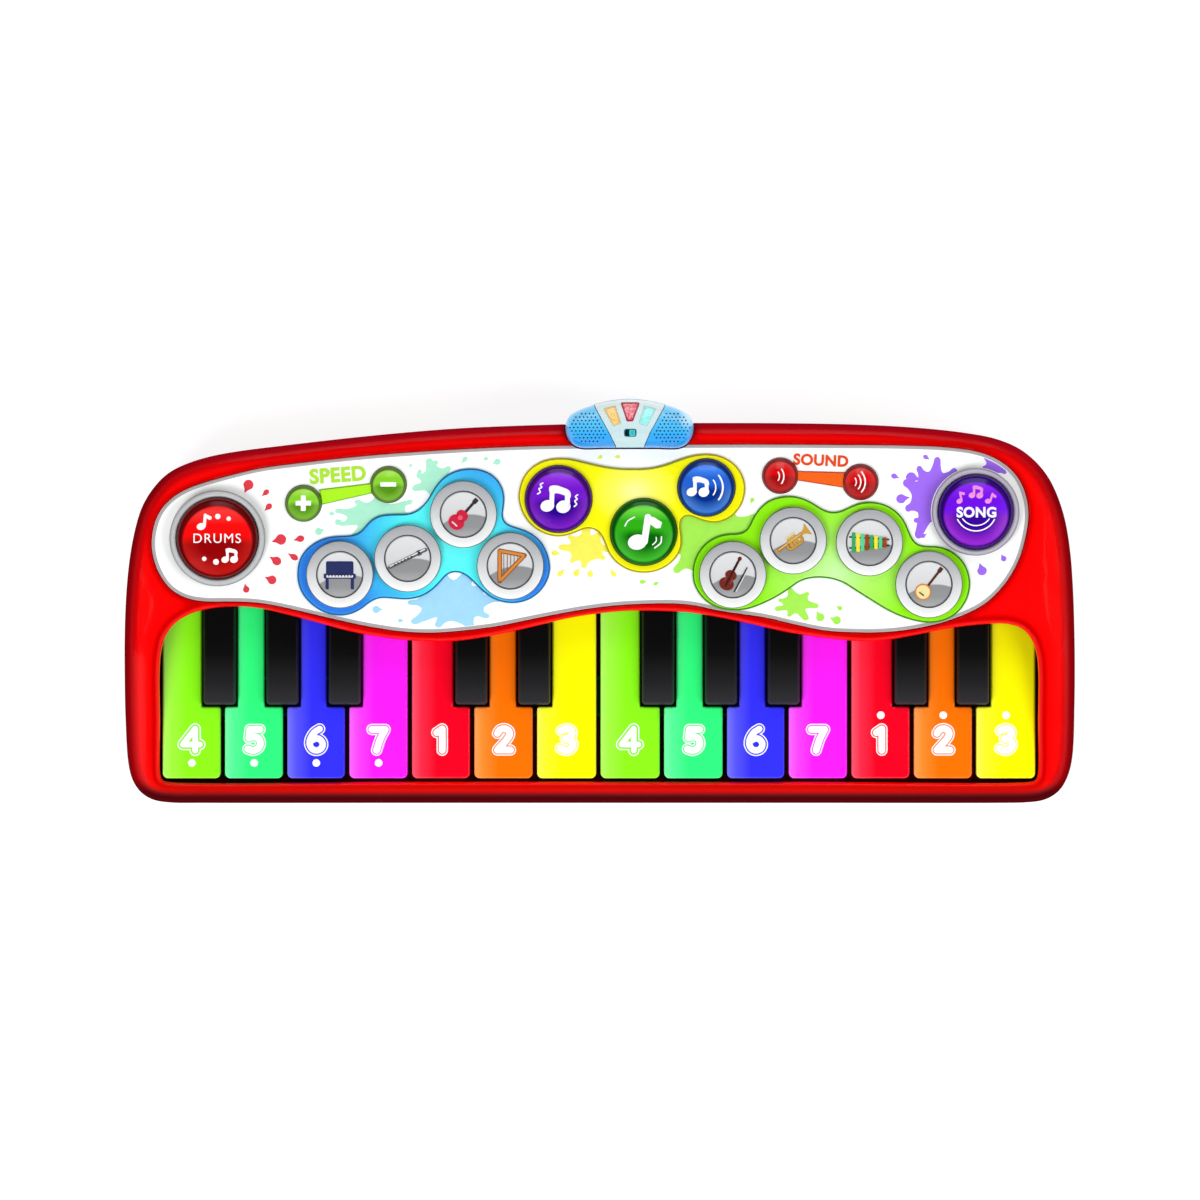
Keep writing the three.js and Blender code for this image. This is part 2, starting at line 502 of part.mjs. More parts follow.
function bottomCase() {
  const rooted = Z_FLOOR_IN - 0.5; // features sink this far into the floor
  let shell = bottomTray();
  for (const [x, y] of BOSSES) {
    shell = shell
      .subtract(disc(x, y, BOSS_R + 0.5, 8, Z_PARTING - 0.5, 40))
      .add(disc(x, y, BOSS_R + 1.3, 8, rooted, Z_PARTING - 0.6))
      .subtract(disc(x, y, 1.6, 6, 0, 40))
      .subtract(disc(x, y, 2.9, 8, 0, 10));
  }
  for (const [x, y] of FEET) shell = shell.add(disc(x, y, 9, 16, Z_FOOT, Z_FLOOR + 1));
  // battery bay
  const outerX = BAY.x + BAY.wall;
  const outerY = [BAY.y[0] - BAY.wall, BAY.y[1] + BAY.wall];
  shell = shell
    .add(box([-outerX, outerX], outerY, [Z_FLOOR, BAY.top + BAY.roof]))
    .subtract(box([-BAY.x, BAY.x], BAY.y, [Z_FLOOR - 2, BAY.top]));
  // posts that carry the hinge rod, open at the top
  const slot = ROD.r + ROD.clear;
  for (const [x0, x1] of POSTS) {
    shell = shell
      .add(box([x0, x1], around(ROD.y, 8.8), [rooted, ROD.z + 2.4]))
      .subtract(box([x0 - 0.01, x1 + 0.01], around(ROD.y, 2 * slot), [ROD.z - slot, 60]));
  }
  // stand-offs for the two boards
  for (const x of [-176, -60, 60, 176]) {
    shell = shell.add(disc(x, 54, 2.6, 8, rooted, BOARD_Z[0] - 0.2));
  }
  for (const x of [-190, -85.6, 0, 112.4, 190]) {
    shell = shell.add(box(around(x, 4), [-48, -40], [rooted, 7.8]));
  }
  return shell;
}
piece('bottom_case', bottomCase(), COLOURS.red);

// A plate with a shallow recess in its underside.
function batteryDoor() {
  const gap = 0.35;
  const x = BAY.x - gap;
  const y = [BAY.y[0] + gap, BAY.y[1] - gap];
  return box([-x, x], y, [Z_FLOOR, Z_FLOOR + 1.9])
    .subtract(box([-7, 7], [61, 64.5], [Z_FLOOR - 1, Z_FLOOR + 0.9]));
}
piece('battery_door', batteryDoor(), COLOURS.red);

// Three AA cells side by side, joined by their contact plates.
function batterySet() {
  const plate = (x) => box(x, [25, 67.6], [6, 17.4]);
  let cells = plate([-27.6, -26]).add(plate([26.2, 27.6]));
  for (const y of [30.8, 46, 61.2]) {
    cells = cells.add(barX(-26.4, 24.4, y, 11.6, 7.1, 12)).add(barX(24, 26.6, y, 11.6, 2.7, 8));
  }
  return cells;
}
piece('battery_set', batterySet(), COLOURS.battery, { roughness: 0.3, metalness: 0.4 });

// ---------- control panel and plates ----------
function controlPanel() {
  let panel = prism(offset(panelLine, -0.3), ...Z_PANEL);
  for (const [name, collar] of Object.entries(COLLAR_R)) {
    const { x, y, radius: r } = BUTTONS[name];
    panel = panel.add(turned(x, y, [
      [r, 40.4], [collar, 40.4], [collar, 44.8], [collar - 1.2, 46], [r, 46], [r, 40.4],
    ], 16));
  }
  for (const line of [LIME_WEDGE, ORANGE_WEDGE]) panel = panel.add(prism(line, 41, 42.3));
  return drillButtonHoles(panel).subtract(prism(offset(podLine, 0.6), 30, ABOVE));
}
piece('control_panel', controlPanel(), COLOURS.white);

for (const [colour, outline, buttons] of [
  ['blue', BLUE_PLATE, ['piano', 'flute', 'guitar', 'harp']],
  ['yellow', YELLOW_PLATE, ['record', 'play', 'playback']],
  ['green', GREEN_PLATE, ['violin', 'trumpet', 'xylophone', 'banjo']],
]) {
  const line = offset(simplify(smooth(outline, 2), 0.35), -0.3);
  const plate = drillButtonHoles(prism(line, ...Z_PLATE), buttons);
  piece(colour + '_button_plate', plate, COLOURS[colour]);
}

// ---------- buttons ----------
function button({ x, y, radius: r, top }) {
  const flange = r + FLANGE;
  const foot = [[0, 32.7], [2.6, 32.7], [2.6, 35], [flange, 35], [flange, 36.4], [r, 36.4]];
  const head = top === undefined
    ? [[r, 45.4], [r - 1.3, 46.3], [r * 0.71, 45], [0, 45]]
    : [[r, top - 3], [r * 0.82, top - 1.1], [0, top]];
  return turned(x, y, [...foot, ...head], buttonSides(r));
}
for (const [name, spec] of Object.entries(BUTTONS)) {
  piece(name + '_button', button(spec), spec.colour, { roughness: 0.2 });
}

// ---------- boards and domes ----------
// A wide rear strip and a narrower front one, kept inside the case wall.
function panelLayer({ rear, front, z, gap }) {
  return box(...rear, z).add(box(...front, z))
    .intersect(prism(offset(caseLine, -WALL - gap), 0, 60));
}

// A six-sided rubber dome.
const dome = (x, y, base, tip, z0, z1) => turned(x, y, [[0, z0], [base, z0], [tip, z1], [0, z1]], 6);

const panelBoard = panelLayer({
  rear: [[-190, 190], [20.5, 60]], front: [[-140, 158], [3, 21]], z: BOARD_Z, gap: 1.2,
});
piece('panel_circuit_board', panelBoard, COLOURS.board, BOARD_FINISH);

function buttonDomeSheet() {
  let sheet = panelLayer({
    rear: [[-188, 188], [21, 59.5]], front: [[-138.5, 156.5], [3.5, 21.5]], z: SHEET_Z, gap: 2,
  });
  for (const { x, y } of Object.values(BUTTONS)) sheet = sheet.add(dome(x, y, 4.2, 3, 27.6, 30.4));
  return sheet;
}
piece('button_dome_sheet', buttonDomeSheet(), COLOURS.silicone, SILICONE_FINISH);

const contactBoard = box([-195, 195], [-52, -34], [8, 9.6]);
piece('key_contact_board', contactBoard, COLOURS.board, BOARD_FINISH);

// ---------- keys ----------
const sharpEdges = SHARP_X.map((x) => around(x, SHARP_W));
const KEY_COLOURS = ['lime', 'mint', 'royal', 'magenta', 'keyRed', 'orange', 'keyYellow'];
const keyNumber = (i) => String(i + 1).padStart(2, '0');

// Adds the low rear tail, bored for the hinge rod.
function addTail(key, x0, x1) {
  return key
    .add(box([x0, x1], [STEP_Y - 0.5, TAIL_END_Y], [KEY_BOTTOM, TAIL_TOP]))
    .subtract(barX(x0 - 1, x1 + 1, ROD.y, ROD.z, ROD.r + ROD.clear, 8));
}

// Narrows a tail so that it clears the posts that carry the rod.
function clearOfPosts(x0, x1) {
  let [left, right] = [x0, x1];
  for (const [p0, p1] of POSTS) {
    if (p1 > left - 0.6 && p1 < (left + right) / 2) left = Math.max(left, p1 + 0.9);
    if (p0 < right + 0.6 && p0 > (left + right) / 2) right = Math.min(right, p0 - 0.9);
  }
  return [left, right];
}

// Sides of a natural key: whole at the front, and narrow beside its sharp keys.
function naturalSides(i) {
  const x0 = KEY_BOUNDS_X[i] + KEY_GAP / 2;
  const x1 = KEY_BOUNDS_X[i + 1] - KEY_GAP / 2;
  const left = SHARP_AFTER.indexOf(i);
  const right = SHARP_AFTER.indexOf(i + 1);
  const narrow0 = left < 0 ? x0 : sharpEdges[left][1] + NARROW_GAP;
  const narrow1 = right < 0 ? x1 : sharpEdges[right][0] - NARROW_GAP;
  return { whole: [x0, x1], narrow: [narrow0, narrow1] };
}

function naturalKey({ whole: [x0, x1], narrow }) {
  const front = KEY_FRONT_Y;
  const back = SHARP_FRONT_Y - 0.7;
  const corner = 2.2;
  const mid = corner * 0.3;
  const plan = [
    [x0, front + corner], [x0 + mid, front + mid], [x0 + corner, front],
    [x1 - corner, front], [x1 - mid, front + mid], [x1, front + corner],
    [x1, back], [x0, back],
  ];
  const hollow = box([x0 + KEY_WALL, x1 - KEY_WALL], [front + KEY_WALL, back - 2], KEY_HOLLOW);
  const key = prism(plan, KEY_BOTTOM, KEY_TOP)
    .add(box(narrow, [back - 0.5, STEP_Y], [KEY_BOTTOM, KEY_TOP]))
    .subtract(hollow);
  return addTail(key, ...clearOfPosts(...narrow));
}

const naturals = KEY_BOUNDS_X.slice(1).map((_, i) => naturalSides(i));
naturals.forEach((spec, i) => {
  const colour = COLOURS[KEY_COLOURS[i % KEY_COLOURS.length]];
  piece('natural_key_' + keyNumber(i), naturalKey(spec), colour, { roughness: 0.25 });
});

// Where the deck's edge lies over a given x.
function deckEdge(x) {
  let best = -100;
  openingLine.forEach(([ax, ay], i) => {
    const [bx, by] = openingLine[(i + 1) % openingLine.length];
    if ((ax - x) * (bx - x) <= 0 && ax !== bx) {
      best = Math.max(best, ay + ((x - ax) / (bx - ax)) * (by - ay));
    }
  });
  return best;
}

// A sharp key drops to the natural keys' height where it passes under the deck.
function sharpKey(x, [x0, x1]) {
  const edge = Math.min(STEP_Y - 1, Math.max(deckEdge(x0), deckEdge(x1), deckEdge(x)) + 1.6);
  const key = box([x0, x1], [SHARP_FRONT_Y, edge], [KEY_BOTTOM, SHARP_TOP])
    .add(box([x0, x1], [edge - 0.5, STEP_Y], [KEY_BOTTOM, KEY_TOP]))
    .subtract(box([x0 + KEY_WALL, x1 - KEY_WALL], [-36, -8], KEY_HOLLOW));
  return addTail(key, x0 + 1.2, x1 - 1.2);
}
SHARP_X.forEach((x, i) => {
  const key = sharpKey(x, sharpEdges[i]);
  piece('sharp_key_' + keyNumber(i), key, COLOURS.black, { roughness: 0.15 });
});

// One dome under each key.
function keyDomeStrip() {
  let strip = box([-194, 194], [-50.5, -35.5], [9.8, 10.8]);
  const naturalX = naturals.map(({ narrow: [x0, x1] }) => (x0 + x1) / 2);
  for (const x of [...naturalX, ...SHARP_X]) strip = strip.add(dome(x, -42, 3.6, 2.6, 10.2, 13.1));
  return strip;
}
piece('key_dome_strip', keyDomeStrip(), COLOURS.silicone, SILICONE_FINISH);

const hingeRod = barX(-ROD.halfLength, ROD.halfLength, ROD.y, ROD.z, ROD.r, 8);
piece('key_hinge_rod', hingeRod, COLOURS.steel, { roughness: 0.25, metalness: 0.9 });

export default root;
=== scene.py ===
"""Looks of a toy electronic keyboard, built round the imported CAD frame.

Plan shapes are in millimetres: x to the right, y to the rear, z up. The keys lie along the
front and the speaker pod stands at the rear. done() turns each finished piece into metres.
Colours are RGB from 0 to 255.
"""
import math
import random
from contextlib import contextmanager
from functools import cache

import bmesh
import bpy
import numpy as np
from mathutils import Matrix, Vector
from mathutils.bvhtree import BVHTree
from mathutils.kdtree import KDTree


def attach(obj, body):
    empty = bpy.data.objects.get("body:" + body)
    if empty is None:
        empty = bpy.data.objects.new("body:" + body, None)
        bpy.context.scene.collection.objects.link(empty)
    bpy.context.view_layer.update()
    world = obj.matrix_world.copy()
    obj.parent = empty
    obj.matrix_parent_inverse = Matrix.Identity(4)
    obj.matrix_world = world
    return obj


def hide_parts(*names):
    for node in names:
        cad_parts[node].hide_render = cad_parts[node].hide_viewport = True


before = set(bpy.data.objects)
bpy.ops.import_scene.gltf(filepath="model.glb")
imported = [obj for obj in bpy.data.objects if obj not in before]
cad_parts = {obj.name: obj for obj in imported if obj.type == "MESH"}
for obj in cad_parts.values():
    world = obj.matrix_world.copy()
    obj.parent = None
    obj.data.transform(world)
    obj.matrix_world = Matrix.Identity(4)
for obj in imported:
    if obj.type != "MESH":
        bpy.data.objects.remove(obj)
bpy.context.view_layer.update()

scene = bpy.context.scene

# ---------------------------------------------------------------- dimensions (mm)


def outline(text):
    """The points of a measured outline, written as x y pairs."""
    return [[float(value) for value in pair.split()] for pair in text.split(",")]


CASE_OUTLINE = outline("""
    -179.89 -90.99, -89.89 -90.99, 0.11 -90.99, 90.11 -90.99, 180.11 -90.99, 192.71 -90.77,
    200.81 -89.64, 207.11 -85.82, 210.71 -79.97, 212.96 -71.42, 213.86 -44.42, 213.64 -17.42,
    212.96 5.08, 211.61 23.08, 209.36 36.58, 206.66 45.58, 202.61 54.58, 197.21 61.78,
    189.11 68.53, 178.31 73.12, 164.81 75.73, 144.11 77.98, 117.11 79.47, 81.11 80.14,
    45.11 80.23, 9.11 80.1, -26.89 79.33, -62.89 77.85, -89.89 75.73, -116.89 73.03,
    -143.89 69.88, -161.89 67.63, -175.39 65.16, -186.19 61.78, -194.74 57.28, -201.49 50.08,
    -205.99 42.43, -209.14 32.08, -211.39 19.93, -212.74 7.33, -213.5 -6.17, -213.86 -26.42,
    -213.64 -53.42, -212.51 -73.67, -210.71 -80.87, -207.34 -86.04, -201.94 -89.55,
    -193.39 -90.86""")
PANEL_OUTLINE = outline("""
    -166.39 -0.32, -154.69 -0.77, -141.64 -3.02, -128.14 -6.17, -114.64 -9.32, -101.14 -12.02,
    -87.64 -13.91, -75.49 -14.36, -62.89 -13.5, -47.14 -11.57, -33.64 -8.87, -20.14 -6.17,
    -6.64 -3.78, 6.86 -2.12, 20.36 -1.35, 33.86 -1.22, 42.86 -2.12, 51.86 -4.14, 60.86 -5.54,
    74.36 -7.52, 87.86 -10.67, 101.36 -13.37, 114.86 -14.18, 128.36 -14.04, 141.86 -12.47,
    155.36 -9.32, 168.86 -3.92, 175.61 0.58, 181.46 6.66, 185.96 13.18, 189.34 20.38,
    191.59 28.48, 192.94 36.58, 192.71 43.33, 191.14 49.63, 188.21 55.71, 182.81 61.33,
    176.51 65.16, 168.86 67.72, 155.36 69.52, 135.11 70.33, 108.11 70.6, 72.11 70.78,
    36.11 70.69, 0.11 70.42, -26.89 70.06, -53.89 69.07, -80.89 67.5, -107.89 65.38,
    -134.89 62.41, -152.89 59.98, -167.29 56.56, -178.09 53.55, -186.19 50.53, -192.94 46.26,
    -197.89 40.63, -200.9 32.98, -201.71 24.43, -200.14 16.78, -196.99 10.03, -192.04 4.41,
    -185.29 1.03, -177.19 -0.32""")
KEY_OPENING = outline("""
    -195.19 -81.32, -89.89 -81.32, 0.11 -81.32, 90.11 -81.32, 194.51 -81.32, 196.54 -80.64,
    197.35 -78.62, 197.35 -53.42, 197.35 -31.82, 196.54 -24.17, 194.29 -17.42, 190.01 -12.47,
    184.16 -10.4, 176.51 -10.12, 166.61 -10.85, 155.36 -12.47, 141.86 -15.17, 128.36 -17.51,
    119.36 -18.05, 108.11 -17.32, 94.61 -15.62, 81.11 -13.23, 67.61 -10.12, 54.11 -7.29,
    40.61 -5.17, 27.11 -4.37, 13.61 -4.37, 0.11 -5.4, -13.39 -7.52, -26.89 -10.67,
    -40.39 -13.82, -53.89 -16.43, -65.14 -17.87, -75.49 -18.09, -87.64 -17.42, -101.14 -15.71,
    -114.64 -12.92, -128.14 -9.22, -141.64 -5.72, -153.79 -3.02, -163.69 -2.39, -174.49 -3.15,
    -183.49 -5.49, -190.69 -9.77, -195.19 -15.62, -197.21 -22.82, -197.98 -30.92,
    -197.98 -53.42, -197.98 -78.62, -197.21 -80.64""")
POD_OUTLINE = outline("""
    -8.89 69.03, 2.36 68.98, 13.39 68.98, 24.86 68.98, 35.66 69.03, 39.04 70.56, 41.33 73.48,
    42.23 77.31, 41.78 80.91, 39.94 83.83, 36.11 85.99, 31.16 87.88, 25.63 89.41, 19.91 90.49,
    13.39 90.99, 6.86 90.49, 1.15 89.41, -4.39 87.88, -9.34 85.99, -13.16 83.83, -15.01 80.91,
    -15.46 77.31, -14.56 73.48, -12.26 70.56""")
POD_CENTRE = outline("""
    7.22 67.18, 20 67.18, 20.09 69.88, 22.48 75.42, 25.63 81.13, 28.69 86.76, 30.71 92.38,
    -3.94 92.38, -1.91 86.76, 1.15 81.13, 4.3 75.42, 7.13 69.88""")
BLUE_PLATE = outline("""
    -136.06 12.19, -135.34 17.86, -132.91 22.41, -128.86 26.05, -123.86 28.48, -118.24 29.48,
    -112.39 29.7, -108.2 30.91, -105.37 33.98, -102.71 36.76, -98.66 38.74, -92.41 39.33,
    -85.39 39.64, -80.89 41.98, -77.42 45.81, -74.59 50.67, -70.54 55.53, -65.59 58.54,
    -59.2 59.8, -53.44 59.31, -47.86 56.74, -43.99 51.88, -42.73 46.62, -43.18 41.8,
    -43.54 37.75, -41.74 34.96, -37.33 33.34, -31.66 31.23, -26.17 26.78, -23.02 20.29,
    -22.21 14.62, -23.65 8.86, -27.61 3.46, -33.64 -0.05, -40.16 -0.9, -46.24 0.31, -51.1 3.19,
    -55.15 6.88, -59.2 10.84, -62.44 12.73, -65.68 13.09, -68.92 11.65, -72.16 7.96,
    -76.21 4.28, -81.07 1.75, -86.74 0.76, -93.22 1.17, -98.89 1.39, -102.94 -0.32,
    -106.99 -3.47, -111.85 -5.81, -116.71 -6.53, -123.19 -5.36, -128.86 -2.07, -133.45 2.83,
    -135.52 7.6""")
YELLOW_PLATE = outline("""
    -36.65 46.03, -36.2 50.98, -34.45 55.93, -31.16 59.98, -25.99 63.13, -19.69 64.48,
    -12.8 64.17, -6.64 62.77, 0.2 61.2, 7.31 60.07, 15.41 59.76, 23.06 60.16, 30.04 61.87,
    36.11 64.12, 41.74 65.74, 48.4 66.42, 55.28 65.11, 61.13 61.33, 64.64 55.8, 65.54 50.04,
    63.79 43.33, 59.51 38.16, 53.21 35.33, 47.14 35.82, 42.41 37.66, 39.26 38.48, 36.97 37.21,
    36.34 33.66, 36.97 29.03, 36.83 24.43, 34.72 19.93, 30.8 16.15, 25.76 13.63, 20.09 12.73,
    13.84 13.63, 8.21 16.65, 4.16 21.28, 2 26.46, 0.02 30.46, -3.04 32.53, -6.64 32.62,
    -10.01 31.18, -14.29 29.65, -19.24 29.03, -25.09 30.46, -30.71 33.98, -34.63 39.28""")
GREEN_PLATE = outline("""
    41.6 12.1, 42.23 17.68, 44.66 22.9, 48.71 27.13, 53.66 29.65, 58.61 30.55, 63.11 30.73,
    65.9 32.26, 67.43 34.78, 69.05 38.16, 71.57 41.8, 75.71 45.31, 81.11 47.11, 86.51 47.47,
    91.91 46.21, 96.19 44.05, 100.01 41.62, 103.61 40.27, 107.66 40.54, 112.16 42.52,
    117.11 44.41, 122.51 44.82, 127.91 43.69, 132.41 41.26, 136.19 37.48, 138.53 32.98,
    140.33 28.66, 142.94 25.69, 146.81 24.98, 152.66 24.7, 158.06 22.73, 162.74 18.85,
    165.71 13.36, 166.61 7.51, 165.17 1.03, 161.12 -5, 154.91 -8.69, 147.94 -9.77,
    141.41 -8.78, 135.11 -6.8, 128.81 -3.83, 121.61 0.58, 114.86 4.81, 109.46 8.23,
    104.51 9.94, 99.11 10.58, 93.71 10.12, 89.66 8.68, 85.84 5.98, 80.66 2.56, 75.71 -0.05,
    70.99 -2.12, 65.81 -3.74, 59.74 -4.19, 53.57 -3.2, 47.99 -0.32, 43.94 4.28, 42.05 8.41""")
LIME_WEDGE = outline("-125.89 50.08, -102.62 52.92, -102.62 48.73, -124.76 43.69")
ORANGE_WEDGE = outline("88.76 58.36, 109.91 57.82, 109.91 51.25, 88.76 54.58")

# x, y, radius
BUTTONS = {
    "rhythm": (-171.79, 28.3, 18.13), "demo": (168.91, 40.18, 16.65),
    "tempo_up": (-133.18, 44.1, 8.05), "tempo_down": (-95.02, 52.51, 8.05),
    "volume_down": (81.11, 56.47, 7.92), "volume_up": (117.16, 53.64, 7.92),
    "piano": (-116.8, 12.01, 14.85), "flute": (-86.29, 19.26, 14.85),
    "guitar": (-61.27, 39.06, 14.85), "harp": (-40.21, 15.88, 14.85),
    "violin": (59.78, 11.93, 14.85), "trumpet": (86.92, 27.27, 14.85),
    "xylophone": (121.16, 26.41, 14.85), "banjo": (147.89, 7.6, 14.85),
    "record": (-18.52, 45.94, 15.03), "play": (19.73, 31.18, 15.03),
    "playback": (47.9, 51.12, 12.91),
}
BEZEL_R = {"rhythm": 21.6, "demo": 19.71}
DISH_R = 10.3
HOLE_GAP = 0.3

# edges between the natural keys, and the middle of each sharp by the edge it stands over
KEY_BOUNDS_X = [-197.89, -169.85, -141.77, -113.83, -85.57, -57.49, -29.23, -0.61, 28.01,
                56.36, 84.17, 112.43, 140.6, 168.68, 197.21]
SHARP_X = {1: -171.25, 2: -142.9, 3: -114.91, 5: -57.85, 6: -29.5, 8: 26.3, 9: 54.65,
           10: 82.82, 12: 139.97, 13: 168.14}
SHARP_W, NARROW_GAP, KEY_GAP = 15.2, 0.6, 2.0
KEY_TOP, SHARP_TOP, KEY_BOTTOM = 28.0, 32.5, 16.0
KEY_FRONT_Y, SHARP_FRONT_Y = -79.74, -46.89
STEP_Y, TAIL_TOP, TAIL_END_Y = 0.0, 23.5, 19.0
ROD_Y, ROD_Z, ROD_R = 14.0, 19.75, 1.5
POSTS = [(-200.5, -198.2), (-87.3, -83.8), (-2.3, 1.1), (110.7, 114.1), (198, 200.3)]

SLOPE_Y, SLOPE, SLOPE_BLEND = -20.0, 0.258, 6.0  # the top sinks in front of SLOPE_Y
Z_PART, Z_RIM, Z_POCKET, Z_PANEL, Z_PLATE = 16.3, 42.5, 39.8, 41.5, 43.2
Z_PRINT = 41.45  # underside of what lies on the panel
RIM_R, FLARE, PUFF_WIDTH, PUFF = 6.2, 2.6, 7.0, 0.75
POCKET_FLARE, POD_HOLE_GAP = 0.5, 0.35
BOSSES = [(-204, -62), (204, -62), (0, -86), (-202, 2.5), (203.4, 2.5), (-100, 66), (100, 66)]
FEET = [(-185, -66), (185, -66), (-165, 48), (165, 48)]

# ---------------------------------------------------------------- plan curves


def edges(line):
    """Each point of the closed line with the next one."""
    return zip(line, line[1:] + line[:1])


def ccw(line):
    """The closed line as tuples, anticlockwise."""
    line = [tuple(point) for point in line]
    return line if sum(a[0] * b[1] - b[0] * a[1] for a, b in edges(line)) > 0 else line[::-1]


def within(x, y, line):
    inside = False
    for (x0, y0), (x1, y1) in edges(line):
        if (y0 > y) != (y1 > y) and x < (x1 - x0) * (y - y0) / (y1 - y0) + x0:
            inside = not inside
    return inside


def catmull(line, step=0.8):
    """Closed centripetal curve through the points, sampled about every step mm."""
    line = [Vector(point) for point in ccw(line)]
    count, out = len(line), []
    for i in range(count):
        p0, p1, p2, p3 = (line[(i + k) % count] for k in (-1, 0, 1, 2))
        t1 = max((p1 - p0).length, 1e-6) ** 0.5
        t2 = t1 + max((p2 - p1).length, 1e-6) ** 0.5
        t3 = t2 + max((p3 - p2).length, 1e-6) ** 0.5
        parts = max(1, math.ceil((p2 - p1).length / step))
        for k in range(parts):
            now = t1 + (t2 - t1) * k / parts

            def blend(a, b, start, end):
                return a * ((end - now) / (end - start)) + b * ((now - start) / (end - start))

            middle = blend(p1, p2, t1, t2)
            before = blend(blend(p0, p1, 0, t1), middle, 0, t2)
            after = blend(middle, blend(p2, p3, t2, t3), t1, t3)
            out.append(tuple(blend(before, after, t1, t2)))
    return out


def even(line, step):
    """The closed curve walked at equal steps."""
    spots = np.array(line + line[:1])
    along = np.concatenate([[0], np.cumsum(np.hypot(*np.diff(spots, axis=0).T))])
    stops = np.linspace(0, along[-1], max(8, int(round(along[-1] / step))), endpoint=False)
    return list(zip(np.interp(stops, along, spots[:, 0]), np.interp(stops, along, spots[:, 1])))


def relax(line, times):
    spots = np.array(line)
    for _ in range(times):
        spots = spots * 0.5 + (np.roll(spots, 1, 0) + np.roll(spots, -1, 0)) * 0.25
    return [tuple(spot) for spot in spots]


def smooth(line, fine, middle, passes, final):
    """The outline as a smooth curve; fine, middle and final are its successive steps."""
    return even(relax(even(catmull(line, fine), middle), passes), final)


def offset(line, distance):
    """Outwards by the distance, mitred."""
    line = ccw(line)
    out = []
    for i, (x, y) in enumerate(line):
        (ax, ay), (bx, by) = line[i - 1], line[(i + 1) % len(line)]
        len_a = math.hypot(x - ax, y - ay) or 1e-9
        len_b = math.hypot(bx - x, by - y) or 1e-9
        mitre_x = (y - ay) / len_a + (by - y) / len_b
        mitre_y = -(x - ax) / len_a + -(bx - x) / len_b
        scale = 2 * distance / max(0.6, mitre_x * mitre_x + mitre_y * mitre_y)
        out.append((x + mitre_x * scale, y + mitre_y * scale))
    return out


def polar(x, y, r, angle):
    return x + r * math.cos(angle), y + r * math.sin(angle)


def circle(x, y, r, sides=24):
    return [polar(x, y, r, 2 * math.pi * i / sides) for i in range(sides)]


def ellipse(x, y, half_x, half_y, turn=0):
    spots = [(half_x * math.cos(angle), half_y * math.sin(angle))
             for angle in (2 * math.pi * k / 24 for k in range(24))]
    return place([spots], x, y, 1.0, turn)[0]


def arc(x, y, r, start, end, parts):
    """Points on an arc between two angles in degrees."""
    return [polar(x, y, r, math.radians(start + (end - start) * k / parts))
            for k in range(parts + 1)]


def half_turn(centre, r, start, parts):
    return [polar(centre[0], centre[1], r, start + math.pi * k / parts)
            for k in range(parts + 1)]


def rect(left, right, front, rear, r):
    """A rectangle with rounded corners."""
    corners = ((right - r, rear - r, 0), (left + r, rear - r, 90),
               (left + r, front + r, 180), (right - r, front + r, 270))
    return [spot for x, y, start in corners for spot in arc(x, y, r, start, start + 90, 6)]


def stroke(line, width):
    """The outline of a line of this width, with round ends."""
    line = [Vector(point) for point in line]
    left, right = [], []
    for i, point in enumerate(line):
        way = (line[min(len(line) - 1, i + 1)] - line[max(0, i - 1)]).normalized()
        side = Vector((-way.y, way.x)) * (width / 2)
        left.append(tuple(point + side))
        right.append(tuple(point - side))

    def cap(end, before):
        way = (end - before).normalized()
        return half_turn(end, width / 2, math.atan2(way.y, way.x) - math.pi / 2, 6)[1:-1]

    return right + cap(line[-1], line[-2]) + left[::-1] + cap(line[0], line[1])


def capsule(start, end, width):
    """A round-ended bar in plan."""
    way = math.atan2(end[1] - start[1], end[0] - start[0])
    return (half_turn(end, width / 2, way - math.pi / 2, 9)
            + half_turn(start, width / 2, way + math.pi / 2, 9))


def flow(line, parts):
    """Open smooth curve through the points."""
    line = [Vector(point) for point in line]
    if len(line) < 3:
        return [tuple(point) for point in line]
    padded = [line[0] * 2 - line[1]] + line + [line[-1] * 2 - line[-2]]
    out = []
    for i in range(1, len(padded) - 2):
        a, b, c, d = padded[i - 1:i + 3]
        for k in range(parts):
            s = k / parts
            out.append(tuple(0.5 * (2 * b + (c - a) * s + (2 * a - 5 * b + 4 * c - d) * s * s
                                    + (3 * b - a - 3 * c + d) * s ** 3)))
    return out + [tuple(line[-1])]


def place(shapes, dx, dy, scale=1.0, turn=0):
    """The shapes turned (degrees), scaled and moved."""
    cos, sin = (f(math.radians(turn)) * scale for f in (math.cos, math.sin))
    return [[(dx + x * cos - y * sin, dy + x * sin + y * cos) for x, y in shape]
            for shape in shapes]


def round_corners(line, radii, parts=6):
    """The polygon with each corner rounded."""
    out = []
    for i, r in enumerate(radii):
        corner, before, after = (Vector(line[k]) for k in (i, i - 1, (i + 1) % len(line)))
        back, ahead = (before - corner).normalized(), (after - corner).normalized()
        half = math.acos(max(-1, min(1, back.dot(ahead)))) / 2
        reach = r / math.tan(half)
        centre = corner + (back + ahead).normalized() * (r / math.sin(half))
        start, end = corner + back * reach - centre, corner + ahead * reach - centre
        first = math.atan2(start.y, start.x)
        sweep = math.atan2(end.y, end.x) - first
        sweep = (sweep + math.pi) % (2 * math.pi) - math.pi
        out += [polar(centre.x, centre.y, r, first + sweep * k / parts)
                for k in range(parts + 1)]
    return out


# ---------------------------------------------------------------- meshes


